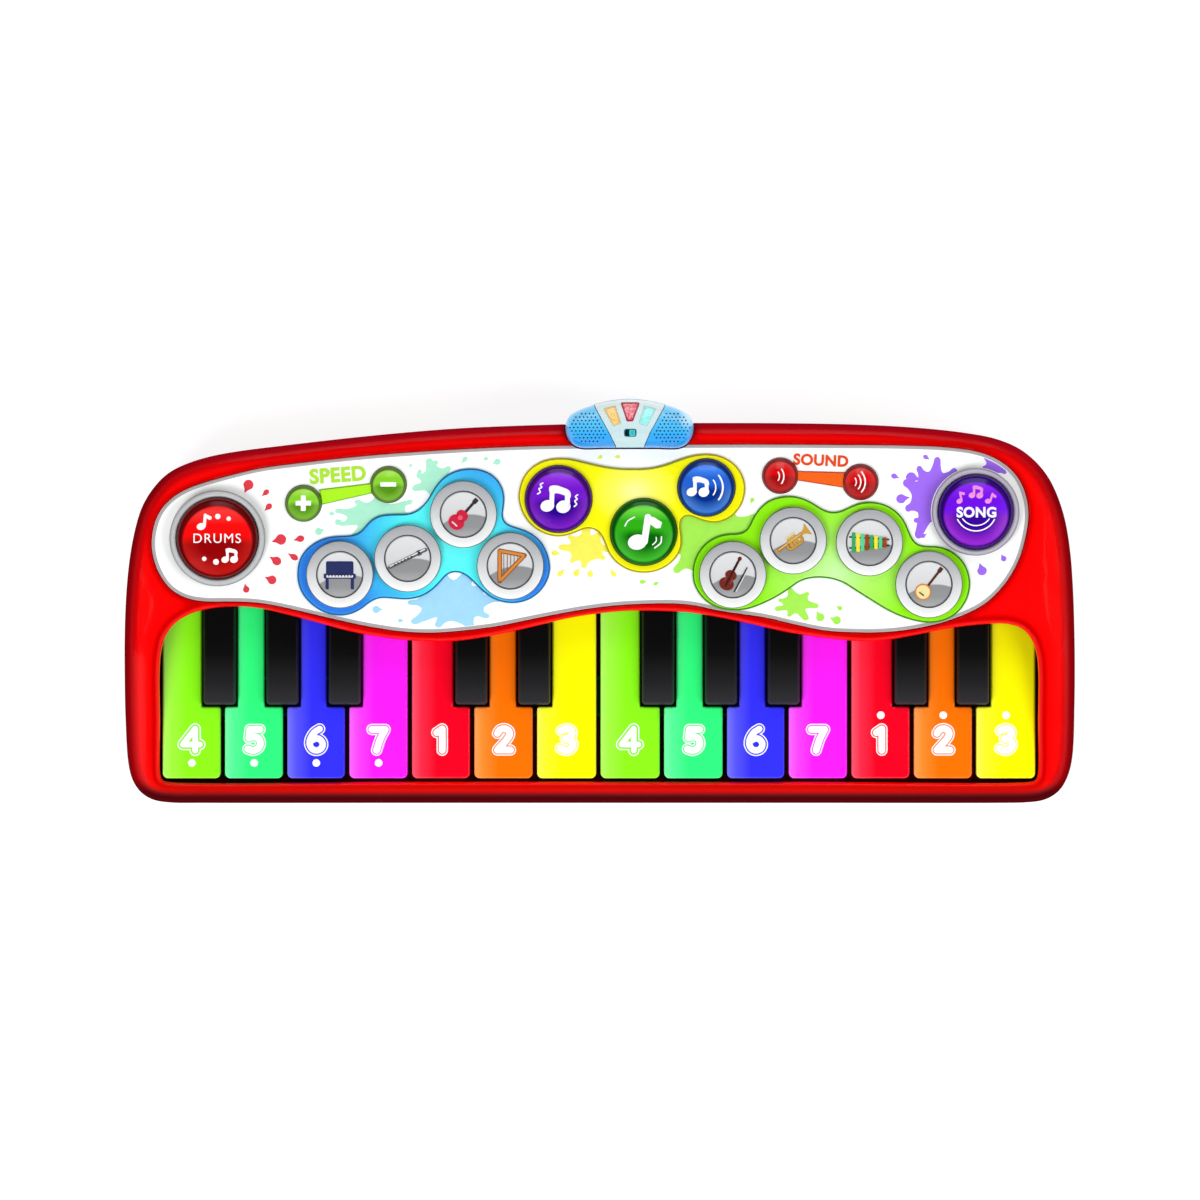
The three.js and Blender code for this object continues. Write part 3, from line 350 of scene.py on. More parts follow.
@contextmanager
def editing(obj):
    """The object's mesh as a bmesh, written back at the end."""
    mesh = bmesh.new()
    mesh.from_mesh(obj.data)
    yield mesh
    mesh.to_mesh(obj.data)
    mesh.free()


def link_object(name, data):
    obj = bpy.data.objects.new(name, data)
    scene.collection.objects.link(obj)
    return obj


def mesh_object(name, mesh):
    bmesh.ops.recalc_face_normals(mesh, faces=mesh.faces)
    data = bpy.data.meshes.new(name)
    mesh.to_mesh(data)
    mesh.free()
    return link_object(name, data)


def bridge(mesh, low, high):
    """Faces between two closed rows; a row of one vertex is an apex."""
    count = max(len(low), len(high))
    for i in range(count):
        j = (i + 1) % count
        if len(low) == 1:
            mesh.faces.new((low[0], high[j], high[i]))
        elif len(high) == 1:
            mesh.faces.new((low[i], low[j], high[0]))
        else:
            mesh.faces.new((low[i], low[j], high[j], high[i]))


def add_loft(mesh, rings, closed=False):
    rows = [[mesh.verts.new(spot) for spot in one] for one in rings]
    if closed:
        rows.append(rows[0])
    for low, high in zip(rows, rows[1:]):
        bridge(mesh, low, high)
    if not closed and len(rows[0]) > 1:
        mesh.faces.new(rows[0][::-1])
        mesh.faces.new(rows[-1])


def loft(name, rings, closed=False):
    """A solid through rings of equal count, capped at both ends or closed on itself."""
    mesh = bmesh.new()
    add_loft(mesh, rings, closed)
    return mesh_object(name, mesh)


def ring(line, z):
    return [(x, y, z) for x, y in line]


def prisms(name, shapes, low, high):
    mesh = bmesh.new()
    for shape in shapes:
        shape = ccw(shape)
        add_loft(mesh, [ring(shape, low), ring(shape, high)])
    return mesh_object(name, mesh)


def prism(name, line, low, high):
    return prisms(name, [line], low, high)


def quarter(parts):
    return [math.pi / 2 * k / parts for k in range(parts + 1)]


def round_over(line, inset, top, drop, parts, start=0.0):
    """Rings of a rounded upper edge, from start to start + inset inside the line."""
    return [ring(offset(line, -start - inset * (1 - math.cos(a))), top - drop * (1 - math.sin(a)))
            for a in quarter(parts)]


def round_under(line, r, bottom, parts):
    """Rings of a rounded lower edge."""
    return [ring(offset(line, -r * (1 - math.sin(a))), bottom + r * (1 - math.cos(a)))
            for a in quarter(parts)]


def soft_prism(name, line, low, high, r_top, r_bottom=0.0, parts=4):
    """A prism whose top (and bottom) edge is rounded."""
    line = ccw(line)
    start = round_under(line, r_bottom, low, parts) if r_bottom else [ring(line, low)]
    return loft(name, start + round_over(line, r_top, high, r_top, parts))


def lathe(name, x, y, profile, sides=64):
    """Solid of revolution about x, y; the (radius, z) profile starts and ends on the axis."""
    return loft(name, [[(x, y, z)] if r < 1e-6 else ring(circle(x, y, r, sides), z)
                       for r, z in profile])


def ring_solid(name, x, y, profile, sides=72):
    """A closed ring: the (radius, z) profile is a closed loop off the axis."""
    return loft(name, [ring(circle(x, y, r, sides), z) for r, z in profile], closed=True)


def evaluated_mesh(obj):
    bpy.context.view_layer.update()
    depsgraph = bpy.context.evaluated_depsgraph_get()
    return bpy.data.meshes.new_from_object(obj.evaluated_get(depsgraph))


def boolean(obj, tool, operation="DIFFERENCE"):
    """obj cut by, joined to or kept inside the tool; the tool goes away."""
    for solver in ("MANIFOLD", "EXACT"):
        cut = obj.modifiers.new("cut", "BOOLEAN")
        cut.object, cut.operation = tool, operation
        try:
            cut.solver = solver
        except TypeError:  # guards against a build without the manifold solver
            obj.modifiers.clear()
            continue
        data = evaluated_mesh(obj)
        obj.modifiers.clear()
        missed = (solver == "MANIFOLD" and operation == "DIFFERENCE"
                  and len(data.vertices) == len(obj.data.vertices))
        if len(data.polygons) > 3 and not missed:
            break
    obj.data = data
    bpy.data.objects.remove(tool)
    return obj


def tidy(obj, dist=1e-3):
    with editing(obj) as mesh:
        bmesh.ops.remove_doubles(mesh, verts=mesh.verts, dist=dist)
        bmesh.ops.dissolve_degenerate(mesh, edges=mesh.edges, dist=dist)
        bmesh.ops.recalc_face_normals(mesh, faces=mesh.faces)
    return obj


def button_holes(names, gap=HOLE_GAP):
    """Cutters a little wider than the named buttons."""
    return prisms("tool", [circle(x, y, r + gap, 64)
                           for x, y, r in (BUTTONS[name] for name in names)], 20, 80)


def thick_lines(name, lines, width, low, high):
    """Lines of this width as one thin solid without overlaps."""
    bars = [capsule(a, b, width) for line in lines for a, b in zip(line, line[1:])]
    obj = prism(name, bars[0], low, high)
    for bar in bars[1:]:
        boolean(obj, prism("part", bar, low, high), "UNION")
    return tidy(obj, 5e-4)


def bisect(obj, axis, values):
    with editing(obj) as mesh:
        for value in values:
            spot, normal = [0, 0, 0], [0, 0, 0]
            spot[axis], normal[axis] = value, 1
            bmesh.ops.bisect_plane(mesh, geom=mesh.verts[:] + mesh.edges[:] + mesh.faces[:],
                                   plane_co=spot, plane_no=normal, dist=1e-4)


def split_to_cells(obj, cell):
    """Cuts the faces on a square grid, so that they can follow a curved surface."""
    spots = np.array([v.co for v in obj.data.vertices])
    for axis in (0, 1):
        low, high = spots[:, axis].min(), spots[:, axis].max()
        bisect(obj, axis, list(np.arange(math.ceil(low / cell) * cell, high, cell)))


def move_z(obj, height):
    """Gives every vertex the z that height(x, y, z) returns."""
    spots = np.zeros(len(obj.data.vertices) * 3)
    obj.data.vertices.foreach_get("co", spots)
    spots = spots.reshape(-1, 3)
    spots[:, 2] = [height(*spot) for spot in spots]
    obj.data.vertices.foreach_set("co", spots.ravel())
    obj.data.update()
    return obj


def skin(objs):
    """The surfaces of some objects, to lay flat pieces on."""
    mesh = bmesh.new()
    for obj in objs:
        mesh.from_mesh(obj.data)
    tree = BVHTree.FromBMesh(mesh)
    mesh.free()
    return tree


def drape(obj, tree, sink, cell=2.0):
    """Lets a flat piece follow a skin, with its z = sink lying on the surface."""
    split_to_cells(obj, cell)

    def height(x, y, z):
        hit = (tree.ray_cast(Vector((x, y, 200)), Vector((0, 0, -1)))[0]
               or tree.find_nearest(Vector((x, y, 60)))[0])
        return hit.z + (z - sink)
    return move_z(obj, height)


def text_object(name, text, size, fat, low, high, x, y, turn=0, spread=0.0):
    """Letters as thin closed solids, from the built-in font, centred on x, y."""
    curve = bpy.data.curves.new(name, "FONT")
    curve.body, curve.size, curve.offset, curve.extrude = text, size, fat, (high - low) / 2
    curve.align_x, curve.align_y, curve.resolution_u = "CENTER", "CENTER", 5
    curve.space_character = 1.0 + 0.9 * fat / size * 2 + spread
    letters = link_object(name + "_t", curve)
    data = evaluated_mesh(letters)
    bpy.data.objects.remove(letters)
    obj = link_object(name, data)
    spots = np.array([v.co for v in data.vertices])
    middle = (spots.min(0) + spots.max(0)) / 2
    data.transform(Matrix.Translation((-middle[0], -middle[1], 0)))
    data.transform(Matrix.Translation((x, y, (low + high) / 2))
                   @ Matrix.Rotation(math.radians(turn), 4, "Z"))
    return tidy(obj, 2e-3)


def without_strays(data):
    """Flaps and loose parts that a cut left behind go away, so the surface stays closed."""
    mesh = bmesh.new()
    mesh.from_mesh(data)
    changed = False
    for _ in range(8):
        flaps = [f for f in mesh.faces if any(len(e.link_faces) == 1 for e in f.edges)
                 and any(len(e.link_faces) > 2 for e in f.edges)]
        if not flaps:
            break
        bmesh.ops.delete(mesh, geom=flaps, context="FACES_ONLY")
        changed = True
    for kind, context in (("edges", "EDGES"), ("verts", "VERTS")):
        loose = [part for part in getattr(mesh, kind) if not part.link_faces]
        if loose:
            bmesh.ops.delete(mesh, geom=loose, context=context)
            changed = True
    if changed:
        mesh.to_mesh(data)
    mesh.free()


def done(obj, body, material, slot, replaces=None, angle=32, weighted=True):
    """Millimetres to metres, smooth shading, material, and its CAD body."""
    data = obj.data
    without_strays(data)
    data.transform(Matrix.Scale(0.001, 4))
    indices = np.zeros(len(data.polygons), dtype=np.int32)
    data.polygons.foreach_get("material_index", indices)
    data.materials.clear()
    for one in (material if isinstance(material, list) else [material]):
        data.materials.append(one)
    data.polygons.foreach_set("material_index", np.minimum(indices, len(data.materials) - 1))
    data.polygons.foreach_set("use_smooth", [True] * len(data.polygons))
    data.set_sharp_from_angle(angle=math.radians(angle))
    if weighted:
        normals = obj.modifiers.new("normals", "WEIGHTED_NORMAL")
        normals.keep_sharp, normals.weight = True, 80
    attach(obj, body)
    if replaces:
        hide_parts(replaces)


# ---------------------------------------------------------------- material tools


def linear(colour):
    """An sRGB colour as linear RGBA."""
    return [(v / 255 / 12.92 if v / 255 <= 0.04045 else ((v / 255 + 0.055) / 1.055) ** 2.4)
            for v in colour] + [1.0]


def scaled(colour, share):
    return [min(255, int(v * share)) for v in colour]


def paler(colour, share):
    return [int(v + (255 - v) * share) for v in colour]


def set_stops(ramp, stops):
    """Gives a colour ramp its (position, RGBA) stops."""
    elements = ramp.color_ramp.elements
    while len(elements) < len(stops):
        elements.new(0.5)
    for element, (position, colour) in zip(elements, stops):
        element.position, element.color = position, colour


class Shader:
    """A small helper for node materials; a value may be a number, a colour or a socket."""

    def __init__(self, name):
        self.material = bpy.data.materials.new(name)
        self.material.use_nodes = True
        self.tree = self.material.node_tree
        self.bsdf = self.tree.nodes["Principled BSDF"]
        self.position = self.node("ShaderNodeTexCoord").outputs["Object"]

    def node(self, kind, **values):
        node = self.tree.nodes.new(kind)
        for key, value in values.items():
            setattr(node, key, value)
        return node

    def feed(self, socket, value):
        if isinstance(value, bpy.types.NodeSocket):
            self.tree.links.new(value, socket)
        else:
            socket.default_value = value

    def surface(self, values):
        for name, value in values.items():
            self.feed(self.bsdf.inputs[name], value)

    def noise(self, scale, detail=2.0, rough=0.5, distort=0.0, vector=None):
        node = self.node("ShaderNodeTexNoise")
        for key, value in (("Scale", scale), ("Detail", detail), ("Roughness", rough),
                           ("Distortion", distort), ("Vector", vector or self.position)):
            self.feed(node.inputs[key], value)
        return node.outputs["Fac"]

    def math(self, operation, *values):
        node = self.node("ShaderNodeMath", operation=operation)
        for socket, value in zip(node.inputs, values):
            self.feed(socket, value)
        return node.outputs[0]

    def times(self, a, b):
        return self.math("MULTIPLY", a, b)

    def remap(self, value, source, target=(0, 1)):
        """The value moved from one range to another, held at its ends."""
        node = self.node("ShaderNodeMapRange", clamp=True)
        self.feed(node.inputs["Value"], value)
        for key, limit in zip(("From Min", "From Max", "To Min", "To Max"), source + target):
            node.inputs[key].default_value = limit
        return node.outputs["Result"]

    def mix(self, factor, a, b, blend="MIX"):
        node = self.node("ShaderNodeMix", data_type="RGBA", blend_type=blend)
        for i, value in ((0, factor), (6, a), (7, b)):
            self.feed(node.inputs[i], value)
        return node.outputs[2]

    def dim(self, colour, brightness):
        grey = self.node("ShaderNodeCombineColor")
        for i in range(3):
            self.feed(grey.inputs[i], brightness)
        return self.mix(1.0, colour, grey.outputs[0], "MULTIPLY")

    def rgb(self, colour):
        node = self.node("ShaderNodeRGB")
        node.outputs[0].default_value = linear(colour)
        return node.outputs[0]

    def xyz(self, vector=None):
        node = self.node("ShaderNodeSeparateXYZ")
        self.feed(node.inputs[0], vector or self.position)
        return node.outputs

    def across(self, coordinate, centre, size):
        """A coordinate measured from the centre in units of size (both mm)."""
        return self.times(self.math("SUBTRACT", coordinate, centre / 1000), 1000 / size)

    def length(self, a, b):
        return self.math("SQRT", self.math("ADD", self.times(a, a), self.times(b, b)))

    def distance_to(self, x, y, size_x=1.0, size_y=1.0):
        """Plan distance from x, y in units of the two sizes."""
        spot = self.xyz()
        dx = self.across(spot[0], x, size_x)
        return self.length(dx, self.across(spot[1], y, size_y))

    def ramp(self, value, stops):
        node = self.node("ShaderNodeValToRGB")
        self.feed(node.inputs[0], value)
        set_stops(node, [(position, linear(colour)) for position, colour in stops])
        return node.outputs[0]

    def voronoi(self, scale, **kind):
        node = self.node("ShaderNodeTexVoronoi", **kind)
        node.inputs["Scale"].default_value = scale
        self.feed(node.inputs["Vector"], self.position)
        return node.outputs["Distance"]

    def bump(self, height, strength, distance):
        node = self.node("ShaderNodeBump")
        node.inputs["Strength"].default_value = strength
        node.inputs["Distance"].default_value = distance
        self.feed(node.inputs["Height"], height)
        self.surface({"Normal": node.outputs[0]})


def rub_edges(mat, base, wear):
    """The colour with patches of pale wear where the surface turns sharply."""
    geometry = mat.node("ShaderNodeNewGeometry")
    soft = mat.node("ShaderNodeBevel", samples=3)
    soft.inputs["Radius"].default_value = 0.0006
    dot = mat.node("ShaderNodeVectorMath", operation="DOT_PRODUCT")
    mat.feed(dot.inputs[0], soft.outputs[0])
    mat.feed(dot.inputs[1], geometry.outputs["Normal"])
    edge = mat.remap(dot.outputs["Value"], (0.985, 0.9), (0.0, wear))
    patch = mat.remap(mat.noise(scale=130, detail=5, rough=0.75), (0.5, 0.68))
    return mat.mix(mat.times(edge, patch), base, [0.85, 0.82, 0.82, 1.0])


def plastic(name, colour, rough=0.22, coat=0.15, bump=0.10, vary=0.05, wear=0.0, grain=900,
            painted_glow=0.0, spec=0.35, gloss_of=None):
    """Moulded plastic: faint orange peel, uneven gloss, a little rubbed at the edges.

    The colour is a triple, or a function that builds it; gloss_of shapes spec and coat.
    painted_glow makes the plastic glow faintly in its own colour, which is painted light that lifts
    its shade.
    """
    mat = Shader(name)
    base = colour(mat) if callable(colour) else mat.rgb(colour)
    cloudy = mat.noise(scale=14, detail=3, rough=0.6)
    base = mat.dim(base, mat.remap(cloudy, (0.3, 0.7), (1 - vary, 1.0)))
    if wear:
        base = rub_edges(mat, base, wear)
    smear = mat.noise(scale=48, detail=5, rough=0.65, distort=0.6)
    mat.surface({
        "Base Color": base,
        "Roughness": mat.remap(smear, (0.3, 0.75), (rough * 0.75, rough * 1.5)),
        "Specular IOR Level": spec, "Coat Weight": coat, "Coat Roughness": 0.08})
    if gloss_of:
        mat.surface({"Specular IOR Level": gloss_of(mat, spec), "Coat Weight": gloss_of(mat, coat)})
    if painted_glow:
        mat.surface({"Emission Color": base, "Emission Strength": painted_glow})
    fine = mat.noise(scale=grain, detail=3, rough=0.6)
    peel = mat.math("ADD", fine, mat.times(mat.noise(scale=120), 1.5))
    mat.bump(peel, strength=bump, distance=0.0002)
    return mat.material


def ink(name, colour, rough=0.35):
    """Printed film: flat colour with a little unevenness in density and gloss."""
    mat = Shader(name)
    base = mat.rgb(colour)
    density = mat.noise(scale=260, detail=4, rough=0.7)
    gloss = mat.noise(scale=90, detail=3)
    mat.surface({
        "Base Color": mat.dim(base, mat.remap(density, (0.3, 0.7), (0.93, 1.0))),
        "Roughness": mat.remap(gloss, (0.3, 0.7), (rough * 0.8, rough * 1.2)),
        "Specular IOR Level": 0.3})
    mat.bump(mat.noise(scale=1500), strength=0.08, distance=0.0001)
    return mat.material


def metal(name, colour, rough=0.3, brushed=(1, 1, 1)):
    """Steel; brushed scales the grain along x, y and z."""
    mat = Shader(name)
    stretch = mat.node("ShaderNodeMapping")
    mat.feed(stretch.inputs["Vector"], mat.position)
    stretch.inputs["Scale"].default_value = brushed
    lines = mat.noise(scale=900, detail=4, rough=0.7, vector=stretch.outputs[0])
    mat.surface({
        "Base Color": mat.ramp(lines, [(0.3, scaled(colour, 0.82)), (0.7, colour)]),
        "Metallic": 1.0,
        "Roughness": mat.remap(lines, (0.3, 0.7), (rough * 0.8, rough * 1.4))})
    mat.bump(lines, strength=0.15, distance=0.0001)
    return mat.material


def rubber(name, colour):
    mat = Shader(name)
    mottle = mat.noise(scale=300, detail=4, rough=0.7)
    mat.surface({
        "Base Color": mat.ramp(mottle, [(0.3, scaled(colour, 0.85)), (0.7, colour)]),
        "Roughness": mat.remap(mat.noise(scale=70, detail=3), (0.3, 0.7), (0.6, 0.85))})
    mat.bump(mat.noise(scale=1400, detail=3), strength=0.35, distance=0.0002)
    return mat.material


def board_material():
    """Solder mask with faint copper tracks under it."""
    mat = Shader("board_green")
    cells = mat.voronoi(130, feature="DISTANCE_TO_EDGE", distance="MANHATTAN")
    track = mat.remap(cells, (0.05, 0.09), (1, 0))
    mat.surface({"Base Color": mat.mix(track, linear((22, 88, 48)), linear((48, 128, 66))),
                 "Roughness": 0.35})
    mat.bump(track, strength=0.3, distance=0.0001)
    return mat.material


def lens_material(name, deep, pale):
    """Tinted clear moulding with fine facets."""
    mat = Shader(name)
    facets = mat.voronoi(1100, feature="F1")
    mat.surface({
        "Base Color": mat.ramp(facets, [(0.1, pale), (0.75, deep)]),
        "Transmission Weight": 0.35, "Roughness": 0.12, "Coat Weight": 0.5,
        "Emission Color": linear(deep), "Emission Strength": 0.25})
    mat.bump(facets, strength=0.5, distance=0.0003)
    return mat.material


# ---------------------------------------------------------------- colour patterns, most of them painted light and shade


def key_painted_light(colour):
    """A painted highlight a little paler along the left edge, full colour to the right, and a
    little painted shade at the right edge.
    """
    stops = [(0.0, paler(colour, 0.32)), (0.16, paler(colour, 0.16)), (0.42, colour),
             (0.95, colour), (1.0, scaled(colour, 0.86))]
    return lambda mat: mat.ramp(
        mat.xyz(mat.node("ShaderNodeTexCoord").outputs["Generated"])[0], stops)


def sharp_painted_reflection(mat):
    """Black, with a painted reflection that greys it towards the front end."""
    stops = [(0.0, (50, 49, 53)), (0.35, (34, 34, 36)), (0.8, (14, 14, 14)), (1.0, (11, 11, 11))]
    return mat.ramp(mat.remap(mat.xyz()[1], (-0.0469, -0.018)), stops)


def dome_painted_light(x, y, r, rim, top, body, dark, low):
    """Gem-like, in painted light: a painted-shade rim, a painted highlight over the rear half, and
    a front half in painted shade that lightens outwards.
    """
    def build(mat):
        spot = mat.xyz()
        across, back = mat.across(spot[0], x, r), mat.across(spot[1], y, r)
        radius = mat.length(across, back)
        rear = mat.ramp(mat.remap(back, (-0.05, 0.9)),
                        [(0.0, body), (0.4, body), (0.75, top), (1.0, body)])
        front = mat.ramp(radius, [(0.0, dark), (0.45, dark), (0.86, low), (1.0, dark)])
        bend = mat.math("MULTIPLY_ADD", mat.times(across, across), -0.10, 0.06)
        edge = mat.math("SUBTRACT", back, bend)
        inner = mat.mix(mat.remap(edge, (-0.16, 0.06), (1, 0)), rear, front)
        rim_edge = mat.math("MULTIPLY_ADD", back, 0.085, radius)
        return mat.mix(mat.remap(rim_edge, (0.83, 0.885)), inner, linear(rim))
    return build


def dish_painted_reflection(x, y):
    """Silvery, with a painted reflection: a light rear half over a front half in painted shade,
    with a curved edge between.
    """
    def build(mat):
        spot = mat.xyz()
        across, back = mat.across(spot[0], x, DISH_R), mat.across(spot[1], y, DISH_R)
        bend = mat.math("ADD", mat.times(mat.times(across, across), -0.28),
                        mat.times(across, 0.18))
        edge = mat.math("SUBTRACT", back, bend)
        light = mat.ramp(mat.remap(back, (-0.3, 1.0)),
                         [(0.0, (210, 212, 213)), (1.0, (228, 229, 230))])
        dark = mat.ramp(mat.remap(back, (-1.0, 0.3)),
                        [(0.0, (176, 176, 178)), (0.35, (148, 149, 151)), (1.0, (142, 143, 146))])
        return mat.mix(mat.remap(edge, (-0.06, 0.0), (1, 0)), light, dark)
    return build


def ring_painted_shade(y, r):
    """Silver, with painted shade that darkens it to the rear."""
    stops = [(0.0, (246, 247, 246)), (0.35, (226, 228, 229)), (0.7, (186, 188, 191)),
             (1.0, (166, 168, 172))]
    return lambda mat: mat.ramp(mat.remap(mat.across(mat.xyz()[1], y, r), (-1, 1)), stops)


def bezel_painted_light(x, y, outer, tint):
    """Painted light: a painted highlight inside the middle of the ring, painted shade at its outer
    edge.
    """
    stops = [(0.0, scaled(tint, 0.8)), (0.45, scaled(tint, 1.12)), (0.8, tint),
             (1.0, scaled(tint, 0.55))]
    return lambda mat: mat.ramp(
        mat.remap(mat.math("DIVIDE", mat.distance_to(x, y), outer), (0.80, 1.0)), stops)


# painted sheen: a plate is pale in its middle and deeper in colour towards its edge
def plate_painted_sheen(x, y, size_x, size_y, stops):
    return lambda mat: mat.ramp(mat.remap(mat.distance_to(x, y, size_x, size_y), (0, 1)), stops)


def attribute(mat, name):
    return mat.node("ShaderNodeAttribute", attribute_name=name).outputs["Fac"]


# painted shade on the case, from the outer edge (0) to 12 mm inside it (1); the front rim also has
# a painted highlight band
SIDE_RIM_SHADE = [(0.0, (112, 6, 12)), (0.10, (122, 5, 11)), (0.26, (166, 3, 9)), (0.42, (204, 2, 5)),
            (0.55, (242, 4, 6)), (0.70, (254, 3, 4)), (1.0, (253, 1, 2))]
FRONT_RIM_SHADE_AND_HIGHLIGHT = [(0.0, (82, 8, 14)), (0.20, (72, 4, 9)), (0.29, (84, 2, 7)), (0.36, (140, 6, 7)),
             (0.44, (206, 12, 10)), (0.52, (246, 22, 14)), (0.70, (255, 18, 12)),
             (1.0, (253, 1, 2))]
REAR_RIM_SHADE = [(0.0, (140, 8, 20)), (0.10, (164, 8, 26)), (0.24, (186, 3, 16)), (0.40, (208, 1, 5)),
            (0.55, (240, 4, 5)), (0.70, (254, 3, 4)), (1.0, (253, 1, 2))]


def front_share(mat, y):
    return mat.remap(y, (-0.080, -0.086))


def case_painted_light(mat):
    """Bright red on top, with painted light: painted shade in deep red at the outer edge, a painted
    highlight band on the front rim, and painted shade beside the openings.
    """
    share = mat.math("DIVIDE", attribute(mat, "edge_mm"), 12.0)
    side, front, rear = (mat.ramp(share, stops) for stops in (SIDE_RIM_SHADE, FRONT_RIM_SHADE_AND_HIGHLIGHT, REAR_RIM_SHADE))
    y = mat.xyz()[1]
    behind = mat.mix(mat.remap(y, (0.050, 0.064)), side, rear)
    colour = mat.mix(front_share(mat, y), behind, front)
    return mat.dim(colour, mat.remap(attribute(mat, "inner_mm"), (0.0, 2.2), (0.55, 1.0)))


def base_painted_shade(mat):
    """Deep red painted shade, matching the painted shade on the top case's side walls; darker at
    the front.
    """
    return mat.mix(front_share(mat, mat.xyz()[1]), linear((100, 5, 11)), linear((74, 6, 11)))


def case_gloss(mat, high):
    """Glossier away from the edges."""
    outer = mat.remap(attribute(mat, "edge_mm"), (2.5, 8.0))
    inner = mat.remap(attribute(mat, "inner_mm"), (0.5, 4.0), (0.1, 1.0))
    return mat.times(mat.times(outer, inner), high)


# ---------------------------------------------------------------- shared materials
CASE_RED = plastic("case_red", case_painted_light, rough=0.2, coat=0.3, wear=0.06, vary=0.04,
                   gloss_of=case_gloss)
BASE_RED = plastic("base_red", base_painted_shade, rough=0.5, coat=0.0, bump=0.5, grain=1600,
                   wear=0.10, spec=0.12)
# the white panel glows faintly: painted light that lifts the shade it lies in
PANEL_WHITE = plastic("panel_white", (252, 254, 253), rough=0.3, vary=0.02, painted_glow=0.10)
BORDER_INK = ink("panel_border", (178, 174, 175))
KEY_BLACK = plastic("key_black", sharp_painted_reflection, rough=0.3, coat=0.0, spec=0.16)
WHITE_INK = ink("ink_white", (255, 255, 255), rough=0.3)
DARK_INK = ink("ink_dark", (70, 72, 78))
STEEL = metal("screw_steel", (190, 192, 196))
ROD_STEEL = metal("rod_steel", (196, 198, 202), rough=0.22, brushed=(0.02, 1, 1))
FOOT_RUBBER = rubber("foot_rubber", (42, 42, 45))
SILICONE = rubber("silicone_pale", (206, 208, 203))
DARK_SILICONE = rubber("silicone_graphite", (44, 45, 48))
SPEAKER_CONE = rubber("speaker_cone", (32, 32, 35))
KEY_COLOURS = [("lime", (140, 253, 26)), ("mint", (48, 253, 127)), ("blue", (51, 49, 250)),
               ("magenta", (252, 30, 253)), ("red", (251, 2, 35)), ("orange", (252, 114, 3)),
               ("yellow", (253, 254, 2))]
# the keys glow faintly: painted light that lifts the shade under the deck
KEY_PLASTIC = {tone: plastic("key_" + tone, key_painted_light(colour), rough=0.2, coat=0.2,
                             vary=0.03, wear=0.10, painted_glow=0.07) for tone, colour in KEY_COLOURS}
BOARD = board_material()

# ---------------------------------------------------------------- top case
case_line = smooth(CASE_OUTLINE, fine=1.0, middle=1.2, passes=6, final=1.5)
panel_line = smooth(PANEL_OUTLINE, fine=0.8, middle=0.9, passes=6, final=1.1)
opening_line = smooth(KEY_OPENING, fine=0.6, middle=0.7, passes=3, final=1.0)
pod_line = smooth(POD_OUTLINE, fine=0.5, middle=0.5, passes=4, final=0.6)
flared_opening = offset(opening_line, FLARE)
flared_pocket = offset(panel_line, POCKET_FLARE)
pod_hole = offset(pod_line, POD_HOLE_GAP)


def nearest_on(lines):
    """A function giving the plan distance from x, y to the nearest of the lines."""
    spots = [spot for line in lines for spot in even(line, 0.35)]
    tree = KDTree(len(spots))
    for i, spot in enumerate(spots):
        tree.insert((spot[0], spot[1], 0), i)
    tree.balance()
    return lambda x, y: tree.find((x, y, 0))[2]


outer_mm = nearest_on([case_line])
inner_mm = nearest_on([flared_opening, flared_pocket, pod_hole])


def puff(x, y, z):
    """The flat top swells a little between its edges."""
    if z < Z_RIM - 0.02 or z > Z_RIM + 0.02:
        return z
    room = min(outer_mm(x, y) - RIM_R, inner_mm(x, y), PUFF_WIDTH)
    return z + PUFF * math.sin(math.pi / 2 * (max(0.0, room) / PUFF_WIDTH)) ** 2


def slope_z(y):
    """How far the front part has sunk at y: flat behind SLOPE_Y, with a short blend."""
    ahead = SLOPE_Y - y
    if ahead <= -SLOPE_BLEND:
        return 0.0
    if ahead >= SLOPE_BLEND:
        return -SLOPE * ahead
    return -SLOPE * (ahead + SLOPE_BLEND) ** 2 / (4 * SLOPE_BLEND)


shell = soft_prism("top_shell", case_line, -70, Z_RIM, RIM_R, parts=10)
cavity = offset(case_line, -2.6)
boolean(shell, loft("tool", [ring(cavity, -71), ring(cavity, 35.5),
                             ring(offset(case_line, -4.6), 37.5)]))
boolean(shell, loft("tool", [ring(opening_line, -75),
                             *round_over(opening_line, -FLARE, Z_RIM, FLARE, 6),
                             ring(flared_opening, 70)]))
boolean(shell, loft("tool", [ring(panel_line, Z_POCKET), ring(panel_line, Z_RIM - POCKET_FLARE),
                             ring(flared_pocket, Z_RIM + 0.02), ring(flared_pocket, 70)]))
boolean(shell, button_holes(BUTTONS))
boolean(shell, prism("tool", pod_hole, 23.65, 90))
# finer rows where the slope begins
bisect(shell, 1, [-90 + 3 * k for k in range(20)] + [-29.0 + 1.5 * k for k in range(14)]
       + [-6 + 3 * k for k in range(32)])
bisect(shell, 0, [-213 + 3 * k for k in range(143)])
move_z(shell, puff)
move_z(shell, lambda x, y, z: z + slope_z(y))
boolean(shell, prism("tool", rect(-260, 260, -130, 130, 5), -200, Z_PART))
tidy(shell)
for layer_name, distance in (("edge_mm", outer_mm), ("inner_mm", inner_mm)):
    layer = shell.data.attributes.new(layer_name, "FLOAT", "POINT")
    layer.data.foreach_set("value", [distance(v.co.x, v.co.y) for v in shell.data.vertices])
done(shell, "case", CASE_RED, "case_red", "top_case", angle=38)

